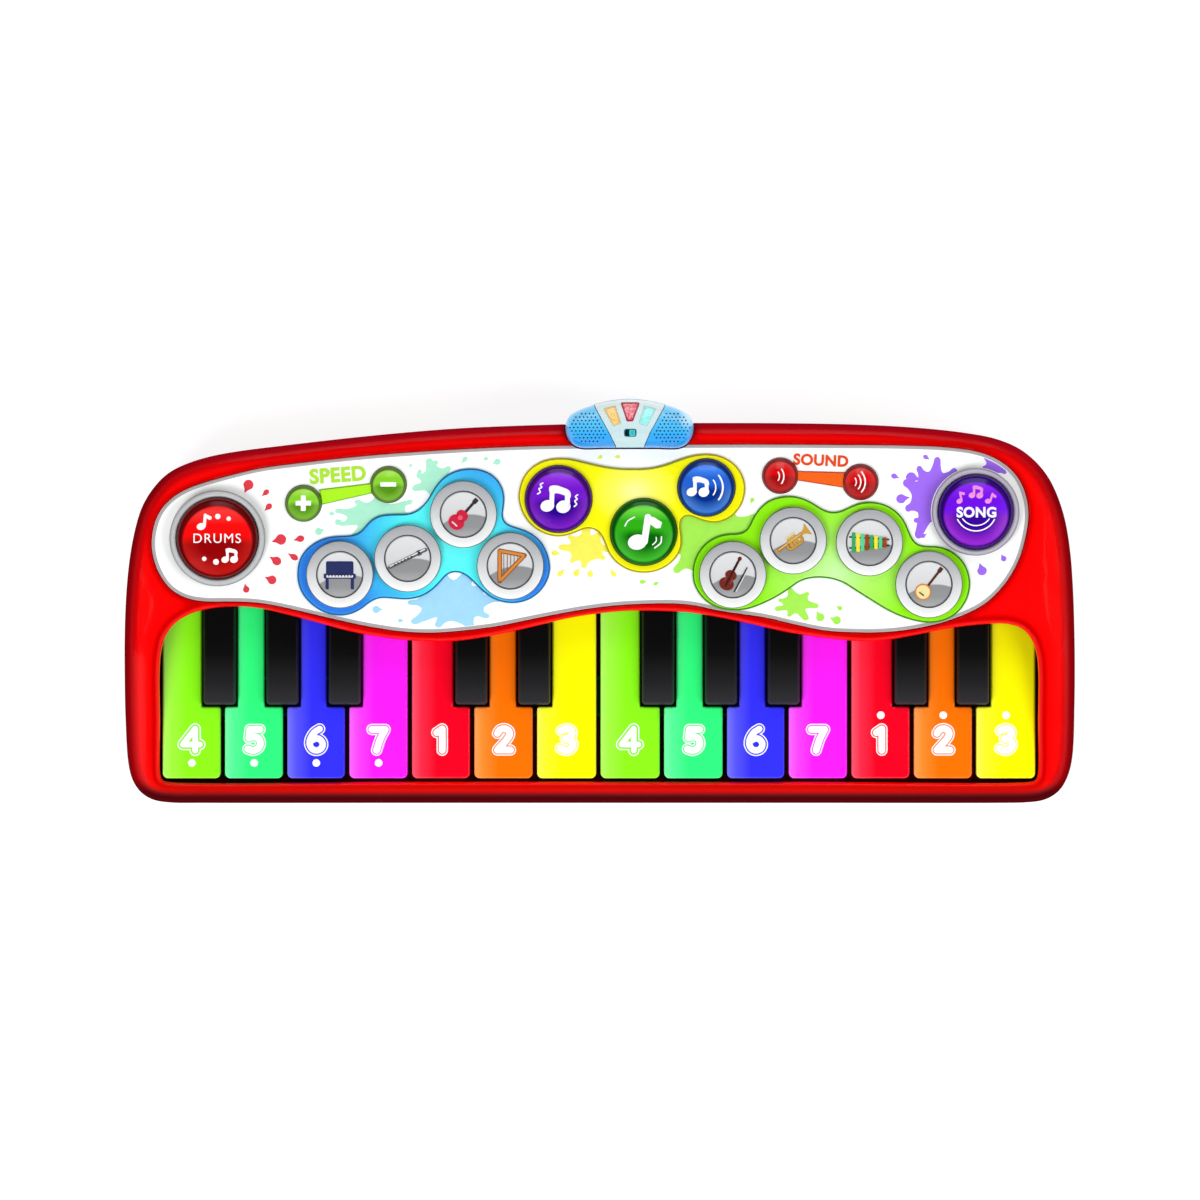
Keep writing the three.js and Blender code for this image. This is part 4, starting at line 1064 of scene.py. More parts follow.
# ---------------------------------------------------------------- bottom case
base_line = offset(case_line, -0.4)
base = loft("base_shell", round_under(base_line, 3.2, 2, 8)
            + [ring(base_line, 15.4), ring(offset(base_line, -0.5), 16.0)])
boolean(base, prism("tool", offset(base_line, -3.0), 4.4, 40))
core_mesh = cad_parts["bottom_case"].data.copy()  # keeps the CAD piece's inner features
core_mesh.transform(Matrix.Scale(1000, 4))
core = tidy(link_object("core", core_mesh), 2e-3)
boolean(core, prism("tool", offset(base_line, -2.8), 3.1, 60), "INTERSECT")
boolean(base, prism("tool", rect(-28.25, 28.25, 22.55, 69.45, 0.3), -5, 6))
for x, y in BOSSES:
    boolean(base, prism("tool", circle(x, y, 2.95, 40), -5, 9.5))
boolean(base, core, "UNION")
bisect(base, 0, [-204 + 12 * k for k in range(35)])
bisect(base, 1, [-84 + 12 * k for k in range(13)])
tidy(base)
done(base, "case", BASE_RED, "case_red", "bottom_case", angle=38)

# (radius, z)
FOOT_PROFILE = [(0, 0.5), (4.6, 0.5), (5.2, 0.0), (8.2, 0.0), (8.9, 0.5), (9.2, 1.3),
                (9.2, 1.98), (0, 1.98)]
SCREW_PROFILE = [(0, 6.6), (1.3, 6.6), (2.2, 7.0), (2.55, 7.8), (2.55, 8.8), (1.4, 8.8),
                 (1.4, 9.2), (1.4, 15.5), (0, 16.0)]
for i, (x, y) in enumerate(FEET):
    foot = lathe("rubber_foot_%d" % (i + 1), x, y, FOOT_PROFILE, 56)
    done(foot, "case", FOOT_RUBBER, "key_black")
for i, (x, y) in enumerate(BOSSES):
    screw = lathe("case_screw_%d" % (i + 1), x, y, SCREW_PROFILE, 40)
    for turn in (0, 90):
        slot = place([rect(-1.5, 1.5, -0.28, 0.28, 0.1)], x, y, 1, turn + 20)
        boolean(screw, prisms("tool", slot, 5, 7.5))
    done(screw, "case", STEEL, "rod_steel")

# ---------------------------------------------------------------- battery door and cells
door = soft_prism("battery_door_cover", rect(-27.85, 27.85, 22.95, 69.05, 1.2), 2.0, 3.9,
                  0.3, 0.45)
for k in range(5):
    y = 58.4 + 1.9 * k
    boolean(door, soft_prism("tool", rect(-7.5, 7.5, y - 0.45, y + 0.45, 0.4), 1.0, 2.5, 0.1))
done(door, "door", BASE_RED, "case_red", "battery_door")

CELL_PROFILE = [  # (radius, distance along the cell)
    (0, -25.2), (5.4, -25.2), (5.9, -24.9), (6.9, -24.8), (7.05, -24.3), (7.05, 12.0),
    (7.05, 23.4), (6.8, 24.1), (5.8, 24.3), (5.2, 23.9), (2.75, 23.9), (2.75, 25.3),
    (2.4, 25.5), (0, 25.5)]
END, DARK_WRAP, GOLD_WRAP = range(3)
cell_materials = [metal("cell_end", (200, 202, 206)),
                  plastic("cell_wrap_dark", (34, 38, 48), rough=0.3, wear=0.05),
                  plastic("cell_wrap_gold", (214, 150, 52), rough=0.28, wear=0.05)]


def cell_part(spot):
    if spot.xy.length <= 6.5 or not -24.4 < spot.z < 23.5:
        return END
    return GOLD_WRAP if spot.z > 12.0 else DARK_WRAP


pack = bmesh.new()
for i, y in enumerate((30.8, 46.0, 61.2)):
    cell = lathe("cell", 0, 0, CELL_PROFILE, 48)
    with editing(cell) as mesh:
        for face in mesh.faces:
            face.material_index = cell_part(face.calc_center_median())
    cell.data.transform(Matrix.Translation((-0.6, y, 11.6))
                        @ Matrix.Rotation(math.radians(-90 if i % 2 else 90), 4, "Y"))
    pack.from_mesh(cell.data)
    bpy.data.objects.remove(cell)
done(mesh_object("battery_cells", pack), "case", cell_materials, "battery_cell", "battery_set")
contacts = prisms("battery_contacts", [rect(left, left + 0.5, 24.6, 68.0, 0.2)
                                       for left in (-27.7, 27.2)], 5.6, 17.6)
done(contacts, "case", STEEL, "battery_cell")

# ---------------------------------------------------------------- control panel and plates
pod_gap = offset(pod_line, 0.6)
panel = soft_prism("face_panel", offset(panel_line, -0.3), 40.0, Z_PANEL, 0.35, parts=3)
boolean(panel, button_holes(BUTTONS))
boolean(panel, prism("tool", pod_gap, 20, 90))
tidy(panel)
done(panel, "case", PANEL_WHITE, "panel_white", "control_panel")
border_out, border_in = offset(panel_line, -0.5), offset(panel_line, -1.75)
border = loft("panel_border_line", [
    ring(line, z) for line, z in ((border_out, Z_PRINT), (border_out, 41.68),
                                  (border_in, 41.68), (border_in, Z_PRINT))], closed=True)
boolean(border, prism("tool", pod_gap, 20, 90))
done(border, "case", BORDER_INK, "panel_white")

# outline, trim colour, painted sheen and the buttons that stand in the plate
PLATES = {
    "blue": (BLUE_PLATE, (28, 112, 158), plate_painted_sheen(-70, 26, 52, 46, [
        (0.0, (104, 255, 255)), (0.42, (84, 250, 254)), (0.68, (66, 192, 250)),
        (0.92, (50, 134, 240))]), ["piano", "flute", "guitar", "harp"]),
    "yellow": (YELLOW_PLATE, (176, 160, 10), plate_painted_sheen(16, 49, 60, 46, [
        (0.0, (255, 255, 168)), (0.16, (255, 255, 96)), (0.34, (254, 252, 18)),
        (1.0, (250, 242, 4))]), ["record", "play", "playback"]),
    "green": (GREEN_PLATE, (72, 138, 14), plate_painted_sheen(106, 13, 62, 50, [
        (0.0, (206, 255, 176)), (0.25, (182, 253, 106)), (0.6, (150, 246, 20)),
        (1.0, (138, 238, 12))]), ["violin", "trumpet", "xylophone", "banjo"]),
}
for tone, (plate_outline, trim, painted_sheen, names) in PLATES.items():
    line = smooth(plate_outline, fine=0.8, middle=0.8, passes=5, final=1.0)
    skirt = soft_prism(tone + "_plate_trim", offset(line, -0.02), 41.55, 42.35, 0.2, parts=3)
    top = soft_prism(tone + "_plate", offset(line, -0.75), 42.3, Z_PLATE, 0.55)
    for obj, material, replaces in (
            (skirt, ink(tone + "_trim", trim), None),
            (top, plastic(tone + "_plate", painted_sheen, rough=0.25, coat=0.3, vary=0.02, wear=0.1),
             tone + "_button_plate")):
        boolean(obj, button_holes(names))
        tidy(obj)
        done(obj, "case", material, "plate_" + tone, replaces)

for tone, wedge, colour, edge in (("lime", LIME_WEDGE, (176, 246, 40), (116, 190, 14)),
                                  ("orange", ORANGE_WEDGE, (250, 104, 30), (196, 60, 10))):
    obj = soft_prism(tone + "_wedge_trim", offset(wedge, 0.25), Z_PRINT, 41.9, 0.15, parts=2)
    done(obj, "case", ink(tone + "_wedge_edge", edge), "panel_white")
    obj = soft_prism(tone + "_wedge", offset(wedge, -0.2), 41.85, 42.4, 0.25, parts=3)
    done(obj, "case", plastic(tone + "_wedge", colour), "panel_white")

# ---------------------------------------------------------------- buttons
# lit and shaded copies of one colour for the small domes, as painted light
LIME_LIT_AND_SHADED = ((84, 120, 28), (172, 236, 72), (138, 218, 40), (84, 146, 14), (118, 178, 40))
RED_LIT_AND_SHADED = ((132, 14, 16), (226, 40, 38), (220, 10, 14), (164, 4, 8), (180, 14, 12))
# top height, slot, then the tones, all painted light but body: rim (painted shade), top (painted
# highlight), body, dark and low (painted shade on the front half)
DOMES = {
    "rhythm": (49.6, "button_red", (
        (98, 4, 8), (252, 56, 54), (248, 12, 12), (146, 2, 5), (184, 20, 16))),
    "demo": (49.6, "button_violet", (
        (48, 4, 112), (140, 36, 246), (112, 16, 232), (56, 4, 152), (148, 40, 206))),
    "record": (47.4, "button_violet", (
        (66, 8, 110), (150, 50, 232), (116, 24, 206), (42, 2, 144), (120, 28, 190))),
    "play": (47.4, "button_green", (
        (8, 84, 8), (112, 226, 66), (48, 176, 22), (4, 98, 6), (60, 180, 42))),
    "playback": (47.2, "button_blue", (
        (16, 46, 112), (66, 138, 252), (34, 100, 214), (2, 46, 138), (60, 120, 206))),
    "tempo_up": (45.6, "button_lime", LIME_LIT_AND_SHADED),
    "tempo_down": (45.6, "button_lime", LIME_LIT_AND_SHADED),
    "volume_up": (45.6, "button_red", RED_LIT_AND_SHADED),
    "volume_down": (45.6, "button_red", RED_LIT_AND_SHADED),
}
DOME_RISE = 2.6


def foot_profile(r):
    return [(0, 32.7), (2.6, 32.7), (2.6, 35.0), (r + 0.6, 35.0), (r + 0.6, 36.4), (r, 36.4)]


def dome_button(name, x, y, r):
    """A plain domed button; gives the solid, its skin and its finish."""
    top, slot, tones = DOMES[name]
    big = r > 10
    lip = 1.0 if big else 0.7
    shoulder = r * 0.9
    base_z = top - DOME_RISE
    profile = foot_profile(r) + [
        (r, top - 3.4), (r - 0.15, top - 2.9), (r - 0.6, top - 2.45),
        (r - lip * 1.2, top - 2.35), (shoulder + 0.5, top - 2.75), (shoulder, base_z)]
    profile += [(shoulder * (1 - q / 12), base_z + DOME_RISE * (1 - (1 - q / 12) ** 2.2))
                for q in range(1, 12)] + [(0, top)]
    dome = lathe(name + "_button_dome", x, y, profile, 80 if big else 56)
    material = plastic(name + "_dome", dome_painted_light(x, y, r, *tones), rough=0.16, coat=0.16,
                       spec=0.28, vary=0.02)
    return dome, skin([dome]), (material, slot, name + "_button")


def dish_button(name, x, y, r):
    """A silver ring round a shallow dish; the dish is finished after its picture."""
    profile = foot_profile(r) + [
        (r, 45.2), (r - 0.12, 45.7), (r - 0.5, 46.1), (r - 1.1, 46.3), (r - 2.4, 46.25),
        (DISH_R + 0.9, 45.95), (DISH_R + 0.45, 45.75), (DISH_R + 0.2, 45.35), (DISH_R, 44.6),
        (0, 44.6)]
    body = lathe(name + "_button_ring", x, y, profile, 72)
    rim_in, rim_out = DISH_R - 0.05, DISH_R + 0.32
    rim = ring_solid(name + "_disc_rim", x, y,
                     [(rim_in, 44.8), (rim_out, 44.8), (rim_out, 45.62), (rim_in, 45.62)])
    dish = lathe(name + "_button_disc", x, y, [
        (0, 44.62), (DISH_R - 0.1, 44.62), (DISH_R - 0.1, 45.1), (DISH_R - 0.5, 45.4),
        (DISH_R * 0.5, 45.55), (0, 45.6)])
    tree = skin([body, rim, dish])
    silver = plastic(name + "_ring", ring_painted_shade(y, r), coat=0.4, vary=0.02, wear=0.08)
    done(body, name, silver, "button_silver", name + "_button")
    done(rim, name, DARK_INK, "button_silver")
    edge = ring_solid(name + "_ring_edge", x, y, [
        (r - 0.02, 44.4), (r + 0.22, 44.4), (r + 0.22, 45.0), (r - 0.02, 45.15)])
    done(edge, name, DARK_INK, "button_silver")
    material = plastic(name + "_dish", dish_painted_reflection(x, y), rough=0.2, coat=0.3, vary=0.02)
    return dish, tree, (material, "button_silver")


tops, skins, finishes = {}, {}, {}
for name, (x, y, r) in BUTTONS.items():
    make = dome_button if name in DOMES else dish_button
    tops[name], skins[name], finishes[name] = make(name, x, y, r)
    tops[name]["mm"] = 1  # marks a top that was modelled in millimetres

for name, tint in (("rhythm", (184, 186, 188)), ("demo", (176, 170, 186))):
    x, y, r = BUTTONS[name]
    outer = BEZEL_R[name]
    bezel = ring_solid(name + "_bezel", x, y, [
        (r + 0.35, 40.6), (outer, 40.6), (outer, 44.6), (outer - 0.25, 45.3),
        (outer - 0.9, 45.85), (outer - 1.6, 46.0), (r + 1.3, 45.9), (r + 0.7, 45.5),
        (r + 0.4, 44.9)], 96)
    material = plastic(name + "_bezel", bezel_painted_light(x, y, outer, tint), coat=0.5, wear=0.1)
    done(bezel, "case", material, "panel_white")

# ---------------------------------------------------------------- marks on the buttons
MARK_SINK, MARK_H = 0.06, 0.22


def note():
    """One quaver, about one unit tall."""
    return [ellipse(-0.20, -0.36, 0.30, 0.24, 14), stroke([(0.02, -0.34), (0.09, 0.44)], 0.21),
            [(0.02, 0.52), (0.30, 0.44), (0.54, 0.30), (0.50, 0.12), (0.36, 0.10), (0.14, 0.24)]]


def beamed():
    """Two joined quavers."""
    beam = [(-0.22, 0.50), (0.0, 0.54), (0.30, 0.44), (0.58, 0.26), (0.58, 0.0), (0.30, 0.14),
            (0.04, 0.22), (-0.20, 0.20)]
    return [ellipse(-0.36, -0.26, 0.28, 0.23, 14), ellipse(0.28, -0.34, 0.29, 0.25, 14),
            stroke([(-0.19, -0.24), (-0.12, 0.36)], 0.19),
            stroke([(0.44, -0.32), (0.48, 0.20)], 0.20), catmull(beam, 0.08)]


def lay_mark(button, obj, material=WHITE_INK):
    drape(obj, skins[button], MARK_SINK)
    done(obj, button, material, "button_silver", weighted=False)


def button_mark(button, name, shapes, material=WHITE_INK):
    lay_mark(button, prisms(button + "_" + name, shapes, 0.0, MARK_H), material)


def button_word(button, word, size, fat, x, y, spread=0.0):
    lay_mark(button, text_object(button + "_word", word, size, fat, 0.0, MARK_H, x, y,
                                 spread=spread))


def arcs(x, y, rows):
    """Concentric strokes; each row is radius, start and end degrees, parts and width."""
    return [stroke(arc(x, y, r, start, end, parts), width)
            for r, start, end, parts, width in rows]


pink = ink("ink_pink", (246, 150, 226))
x, y, _ = BUTTONS["rhythm"]
button_word("rhythm", "DRUMS", 6.1, 0.0, x, y, spread=0.15)
button_mark("rhythm", "note", place(note(), x - 5.9, y + 7.6, 6.5)
            + [circle(x + 0.3, y + 9.8, 1.25), circle(x + 5.2, y + 8.8, 1.0)])
button_mark("rhythm", "notes", place(beamed(), x + 5.6, y - 7.7, 6.1, 8)
            + [circle(x - 5.8, y - 9.2, 1.0), circle(x - 0.5, y - 10.6, 1.3)])
x, y, _ = BUTTONS["demo"]
button_word("demo", "SONG", 6.2, 0.24, x + 0.2, y - 0.2)
button_mark("demo", "notes", place(beamed(), x + 0.0, y + 9.0, 5.4, 6)
            + place(note(), x - 7.0, y + 6.6, 4.6, 16)
            + place(note(), x + 6.6, y + 6.2, 4.6, -12), pink)
button_mark("demo", "arcs", arcs(x, y + 0.6, [(9.2, 206, 334, 20, 0.55)])
            + arcs(x, y + 1.2, [(7.4, 216, 324, 18, 0.5)]))
x, y, _ = BUTTONS["record"]
button_mark("record", "notes", place(beamed(), x - 1.2, y + 0.1, 11.2, 4))
wave = stroke(flow([(0.5, 3.6), (-0.4, 2.6), (0.6, 1.6), (-0.4, 0.6), (0.6, -0.6),
                    (-0.3, -1.8)], 4), 0.62)
button_mark("record", "waves", place([wave], x - 8.6, y + 3.9, 1.0, -18)
            + place([wave], x + 7.6, y - 1.6, 1.0, -8))
x, y, _ = BUTTONS["play"]
button_mark("play", "note", place(note(), x + 0.3, y + 0.4, 14.3, -3))
button_mark("play", "arcs", [
    stroke(flow([(x + dx, y + dy) for dx, dy in bend], 5), width) for bend, width in (
        ([(-8.4, 2.6), (-7.0, 5.0), (-4.2, 6.6)], 0.6),
        ([(8.0, -2.2), (7.6, -5.0), (5.0, -7.2)], 0.6),
        ([(5.6, -2.4), (5.6, -4.2), (4.0, -5.8)], 0.5))])
x, y, _ = BUTTONS["playback"]
button_mark("playback", "notes", place(beamed(), x - 3.8, y + 0.5, 8.4, 6))
button_mark("playback", "arcs", arcs(x - 1.4, y, [(5.6, -36, 36, 10, 0.62),
                                                  (8.8, -38, 38, 12, 0.8)]))
plus = [(-3.5, -1.1), (-1.1, -1.1), (-1.1, -3.5), (1.1, -3.5), (1.1, -1.1), (3.5, -1.1),
        (3.5, 1.1), (1.1, 1.1), (1.1, 3.5), (-1.1, 3.5), (-1.1, 1.1), (-3.5, 1.1)]
button_mark("tempo_up", "plus", place([round_corners(plus, [0.2] * 12, 2)],
                                      *BUTTONS["tempo_up"][:2]))
button_mark("tempo_down", "minus", place([rect(-3.6, 3.6, -1.0, 1.0, 0.25)],
                                         *BUTTONS["tempo_down"][:2]))
x, y, _ = BUTTONS["volume_down"]
button_mark("volume_down", "arcs", arcs(x - 3.8, y - 0.3, [(3.4, -34, 34, 10, 0.5),
                                                           (5.4, -36, 36, 12, 0.6)]))
x, y, _ = BUTTONS["volume_up"]
button_mark("volume_up", "arcs", arcs(x - 4.9, y, [
    (3.0, -34, 34, 10, 0.5), (5.0, -38, 38, 12, 0.58), (7.0, -40, 40, 14, 0.66)]))

# ---------------------------------------------------------------- instrument pictures
INKS = {tone: ink("ink_" + tone, colour) for tone, colour in {
    "navy": (44, 50, 98), "grey": (92, 94, 98), "silver": (226, 228, 230), "red": (208, 36, 66),
    "rose": (240, 92, 116), "dark": (58, 50, 60), "tan": (214, 138, 66), "umber": (150, 84, 30),
    "wine": (116, 42, 34), "wine_light": (160, 70, 52), "brass": (206, 158, 62),
    "brass_light": (242, 210, 132), "mint": (84, 214, 150), "yellow": (250, 230, 60),
    "brown": (160, 66, 24), "green": (54, 170, 96), "cream": (246, 226, 160),
    "walnut": (88, 52, 40), "black": (30, 28, 32)}.items()}


def icon(name, turn, layers):
    """Stacked flat layers, drawn upright in units of the dish's radius, then turned."""
    x, y, _ = BUTTONS[name]
    for i, (tone, shapes) in enumerate(layers):
        shapes = place(place(shapes, 0, 0, 1.0, turn), x, y, DISH_R)
        obj = prisms("%s_icon_%d" % (name, i + 1), shapes, 0.0, 0.16 + 0.07 * i)
        drape(obj, skins[name], 0.05, 3.0)
        done(obj, name, INKS[tone], "button_silver", weighted=False)


icon("piano", 0, [
    ("navy", [rect(-0.60, 0.60, -0.04, 0.58, 0.08), rect(-0.70, 0.70, -0.18, 0.04, 0.05),
              rect(-0.62, -0.48, -0.64, -0.10, 0.03), rect(0.48, 0.62, -0.64, -0.10, 0.03)]),
    ("silver", [rect(-0.58, 0.58, -0.13, -0.03, 0.02)]),
    ("navy", [rect(-0.50 + 0.1375 * i, -0.45 + 0.1375 * i, -0.085, -0.03, 0.005)
              for i in range(8)]),
])
icon("flute", 26, [
    ("grey", [stroke([(-0.86, 0.0), (0.86, 0.0)], 0.17), rect(0.44, 0.66, -0.12, 0.12, 0.05)]),
    ("silver", [stroke([(-0.84, 0.03), (0.84, 0.03)], 0.06)]),
    ("dark", [circle(-0.62 + 0.16 * i, 0.0, 0.04, 12) for i in range(6)]
     + [circle(0.55, 0.0, 0.06, 14)]),
])
icon("guitar", -42, [
    ("dark", [stroke([(0.0, -0.10), (0.0, 0.72)], 0.12), rect(-0.10, 0.10, 0.66, 0.90, 0.04)]),
    ("red", [ellipse(0.0, -0.46, 0.36, 0.32), ellipse(0.0, -0.08, 0.27, 0.24),
             rect(-0.20, 0.20, -0.34, -0.12, 0.04)]),
    ("rose", [circle(0.0, -0.20, 0.11)]),
    ("silver", [rect(-0.15, 0.15, -0.60, -0.54, 0.02)]),
])
harp = [[(-0.46, -0.66), (-0.46, 0.66)], [(-0.46, 0.66), (0.62, 0.46)],
        [(0.62, 0.46), (-0.46, -0.66)]]
icon("harp", 0, [
    ("umber", [stroke(side, 0.20) for side in harp]),
    ("tan", [stroke(side, 0.12) for side in harp]),
    ("umber", [stroke([(-0.28 + 0.15 * i, 0.56 - 0.028 * i),
                       (-0.28 + 0.15 * i, -0.38 + 0.156 * i)], 0.024) for i in range(5)]),
])
icon("violin", -28, [
    ("wine", [ellipse(-0.06, -0.48, 0.33, 0.28), ellipse(-0.06, -0.06, 0.26, 0.22),
              rect(-0.24, 0.12, -0.38, -0.12, 0.02),
              stroke([(-0.06, 0.0), (-0.06, 0.72)], 0.11), circle(-0.06, 0.76, 0.09)]),
    ("wine_light", [stroke([(x, -0.40), (x, -0.20)], 0.045) for x in (-0.20, 0.08)]),
    ("black", [stroke([(-0.06, -0.60), (-0.06, 0.62)], 0.06),
               stroke([(0.40, -0.62), (0.40, 0.56)], 0.05)]),
    ("silver", [stroke([(0.47, -0.58), (0.47, 0.52)], 0.035)]),
])
pipe = [(-0.82, 0.03), (0.46, 0.03)]
loop = arc(-0.22, -0.12, 0.15, 90, 270, 8) + arc(0.22, -0.12, 0.15, -90, 90, 8)
bell = [(0.40, 0.08), (0.62, 0.13), (0.82, 0.32), (0.82, -0.26), (0.62, -0.07), (0.40, -0.02)]
icon("trumpet", 36, [
    ("umber", [stroke(pipe, 0.15), stroke(loop, 0.13)]),
    ("brass", [stroke(pipe, 0.09), stroke(loop, 0.08), bell, ellipse(-0.84, 0.03, 0.06, 0.10)]
     + [rect(-0.22 + 0.16 * i, -0.10 + 0.16 * i, -0.22, 0.22, 0.03) for i in range(3)]),
    ("brass_light", [stroke([(-0.76, 0.05), (0.42, 0.05)], 0.03)]
     + [ellipse(-0.16 + 0.16 * i, 0.24, 0.07, 0.045) for i in range(3)]),
])
icon("xylophone", 0, [
    ("dark", [stroke([(-0.86, 0.24), (0.84, 0.13)], 0.075),
              stroke([(-0.86, -0.24), (0.84, -0.13)], 0.075)]),
] + [(tone, [rect(-0.77 + 0.195 * i, -0.615 + 0.195 * i, -0.44 + 0.032 * i,
                  0.44 - 0.032 * i, 0.03)])
     for i, tone in enumerate(["green", "yellow", "mint", "brown"] * 2)])
icon("banjo", -38, [
    ("walnut", [stroke([(0.0, -0.20), (0.0, 0.74)], 0.11), rect(-0.09, 0.09, 0.68, 0.92, 0.04)]),
    ("tan", [circle(0.0, -0.42, 0.36)]),
    ("cream", [circle(0.0, -0.42, 0.30)]),
    ("walnut", [rect(-0.13, 0.13, -0.56, -0.50, 0.02)]),
])
for name, top in tops.items():
    done(top, name, *finishes[name])

# ---------------------------------------------------------------- labels on the panel
for name, word, size, fat, x, y, turn, tone, colour in (
        ("speed_label", "SPEED", 8.9, 0.34, -117.8, 56.8, 4, "lime", (178, 232, 60)),
        ("sound_label", "SOUND", 6.8, 0.24, 99.4, 63.4, -2.5, "orange", (232, 76, 24))):
    label = text_object(name, word, size, fat, Z_PRINT, 41.75, x, y, turn)
    done(label, "case", ink("ink_" + tone, colour), "panel_white", weighted=False)

# ---------------------------------------------------------------- paint splashes on the panel


def splat(x, y, half_x, half_y, arms, rnd):
    """A round splash with seeded fingers."""
    spots, step = [], 2 * math.pi / arms
    for i in range(arms):
        angle = step * (i + rnd.uniform(-0.2, 0.2))
        reach = rnd.uniform(0.86, 1.0) if i % 2 else rnd.uniform(0.98, 1.22)
        finger = ((-0.21, 0.80 * reach), (-0.12, 0.96 * reach), (0.0, reach),
                  (0.12, 0.96 * reach), (0.21, 0.80 * reach), (0.5, rnd.uniform(0.60, 0.70)))
        for turn, share in finger:
            spots.append((x + half_x * share * math.cos(angle + turn * step),
                          y + half_y * share * math.sin(angle + turn * step)))
    return spots


DROPLET = [(0.5, 0), (0.34, 0.42), (0.04, 0.5), (-0.24, 0.2), (-0.5, 0), (-0.24, -0.2),
           (0.04, -0.5), (0.34, -0.42)]  # shares of length and width


def droplet(x, y, length, width, turn):
    """A drop with its tail behind it."""
    return place([[(length * a, width * b) for a, b in DROPLET]], x, y, 1.0, turn)[0]


# colour; splats (centre, half sizes, arms); sprays of drops (centre, nearest and farthest
# distance, how many, length)
SPRAYS = {
    "red": ((228, 64, 78), [], [(-172, 28, 25, 37, 13, 5.6)]),
    "mint": ((176, 242, 212), [(-100, 38, 20, 10, 9), (-74, 54, 10, 9, 7)],
             [(-98, 42, 16, 34, 9, 3.4), (-70, 56, 10, 26, 4, 3.0)]),
    "sky": ((166, 222, 252), [(-66, 0, 22, 14, 10)], [(-66, 0, 22, 40, 7, 4.0)]),
    "lemon": ((252, 246, 96), [(-6, 24, 11, 9, 8)],
              [(-6, 24, 10, 20, 5, 3.6), (-6, 62, 5, 18, 3, 3.0)]),
    "leaf": ((170, 242, 88), [(50, 28, 25, 24, 11), (88, -1, 9, 7, 7)],
             [(50, 20, 26, 38, 8, 4.4), (92, 0, 8, 18, 3, 4.0)]),
    "lilac": ((165, 112, 250), [(150, 47, 15, 18, 9), (178, 61, 7, 5, 6)],
              [(166, 44, 24, 36, 8, 5.0)]),
}
SPLAT_SEED, DROP_SEED = 400, 700
ROUND_BUTTONS = [(x, y, BEZEL_R.get(name, r)) for name, (x, y, r) in BUTTONS.items()]
# left, right, front and rear of the two labels with their wedges
LABEL_AREAS = [(-133, -102, 42, 63), (84, 114, 48, 69)]
OPEN_PANEL = offset(panel_line, -5.0)[::6]
UNDER_PLATES = [offset(plate, 3.4) for plate in (BLUE_PLATE, YELLOW_PLATE, GREEN_PLATE)]
shapes_of, laid = {}, []  # laid: x, y, radius and colour name of what is there already
for number, (tone, (_, splats, _)) in enumerate(SPRAYS.items()):
    rnd = random.Random(SPLAT_SEED + number)
    shapes_of[tone] = [splat(*one, rnd) for one in splats]
    laid += [(x, y, max(half_x, half_y) * 1.22, tone) for x, y, half_x, half_y, _ in splats]


def has_room(x, y, room, tone):
    """Whether a drop at x, y stays on the panel and clear of everything else."""
    if not within(x, y, OPEN_PANEL) or any(within(x, y, plate) for plate in UNDER_PLATES):
        return False
    if any(math.hypot(x - bx, y - by) < r + 1.2 + room for bx, by, r in ROUND_BUTTONS):
        return False
    if any(left - room < x < right + room and front - room < y < rear + room
           for left, right, front, rear in LABEL_AREAS):
        return False
    return not any(math.hypot(x - lx, y - ly) < r + room for lx, ly, r, other in laid
                   if other != tone or r < 5)


for number, (tone, (_, _, sprays)) in enumerate(SPRAYS.items()):
    rnd = random.Random(DROP_SEED + number)
    for spray_x, spray_y, near, far, count, size in sprays:
        placed = 0
        for attempt in range(400):
            if placed == count:
                break
            angle = rnd.uniform(0, 2 * math.pi)
            away = rnd.uniform(near, far)
            length = size * rnd.uniform(0.6, 1.35)
            x, y = polar(spray_x, spray_y, away, angle)
            room = length * 0.5 + 0.8
            if has_room(x, y, room, tone):
                width = length * rnd.uniform(0.5, 0.75)
                turn = math.degrees(angle) + rnd.uniform(-20, 20)
                shapes_of[tone].append(droplet(x, y, length, width, turn))
                laid.append((x, y, room, tone))
                placed += 1

for tone, shapes in shapes_of.items():
    splash, *others = [prism(tone + "_splash", catmull(shape, 0.5), 41.42, 41.53)
                       for shape in shapes]
    for other in others:
        boolean(splash, other, "UNION")
    boolean(splash, prism("tool", offset(panel_line, -2.1), 30, 60), "INTERSECT")
    boolean(splash, prisms("tool", [circle(x, y, r + 0.4, 48) for x, y, r in ROUND_BUTTONS],
                           20, 80))
    tidy(splash)
    done(splash, "case", ink("splash_" + tone, SPRAYS[tone][0]), "panel_white", weighted=False)

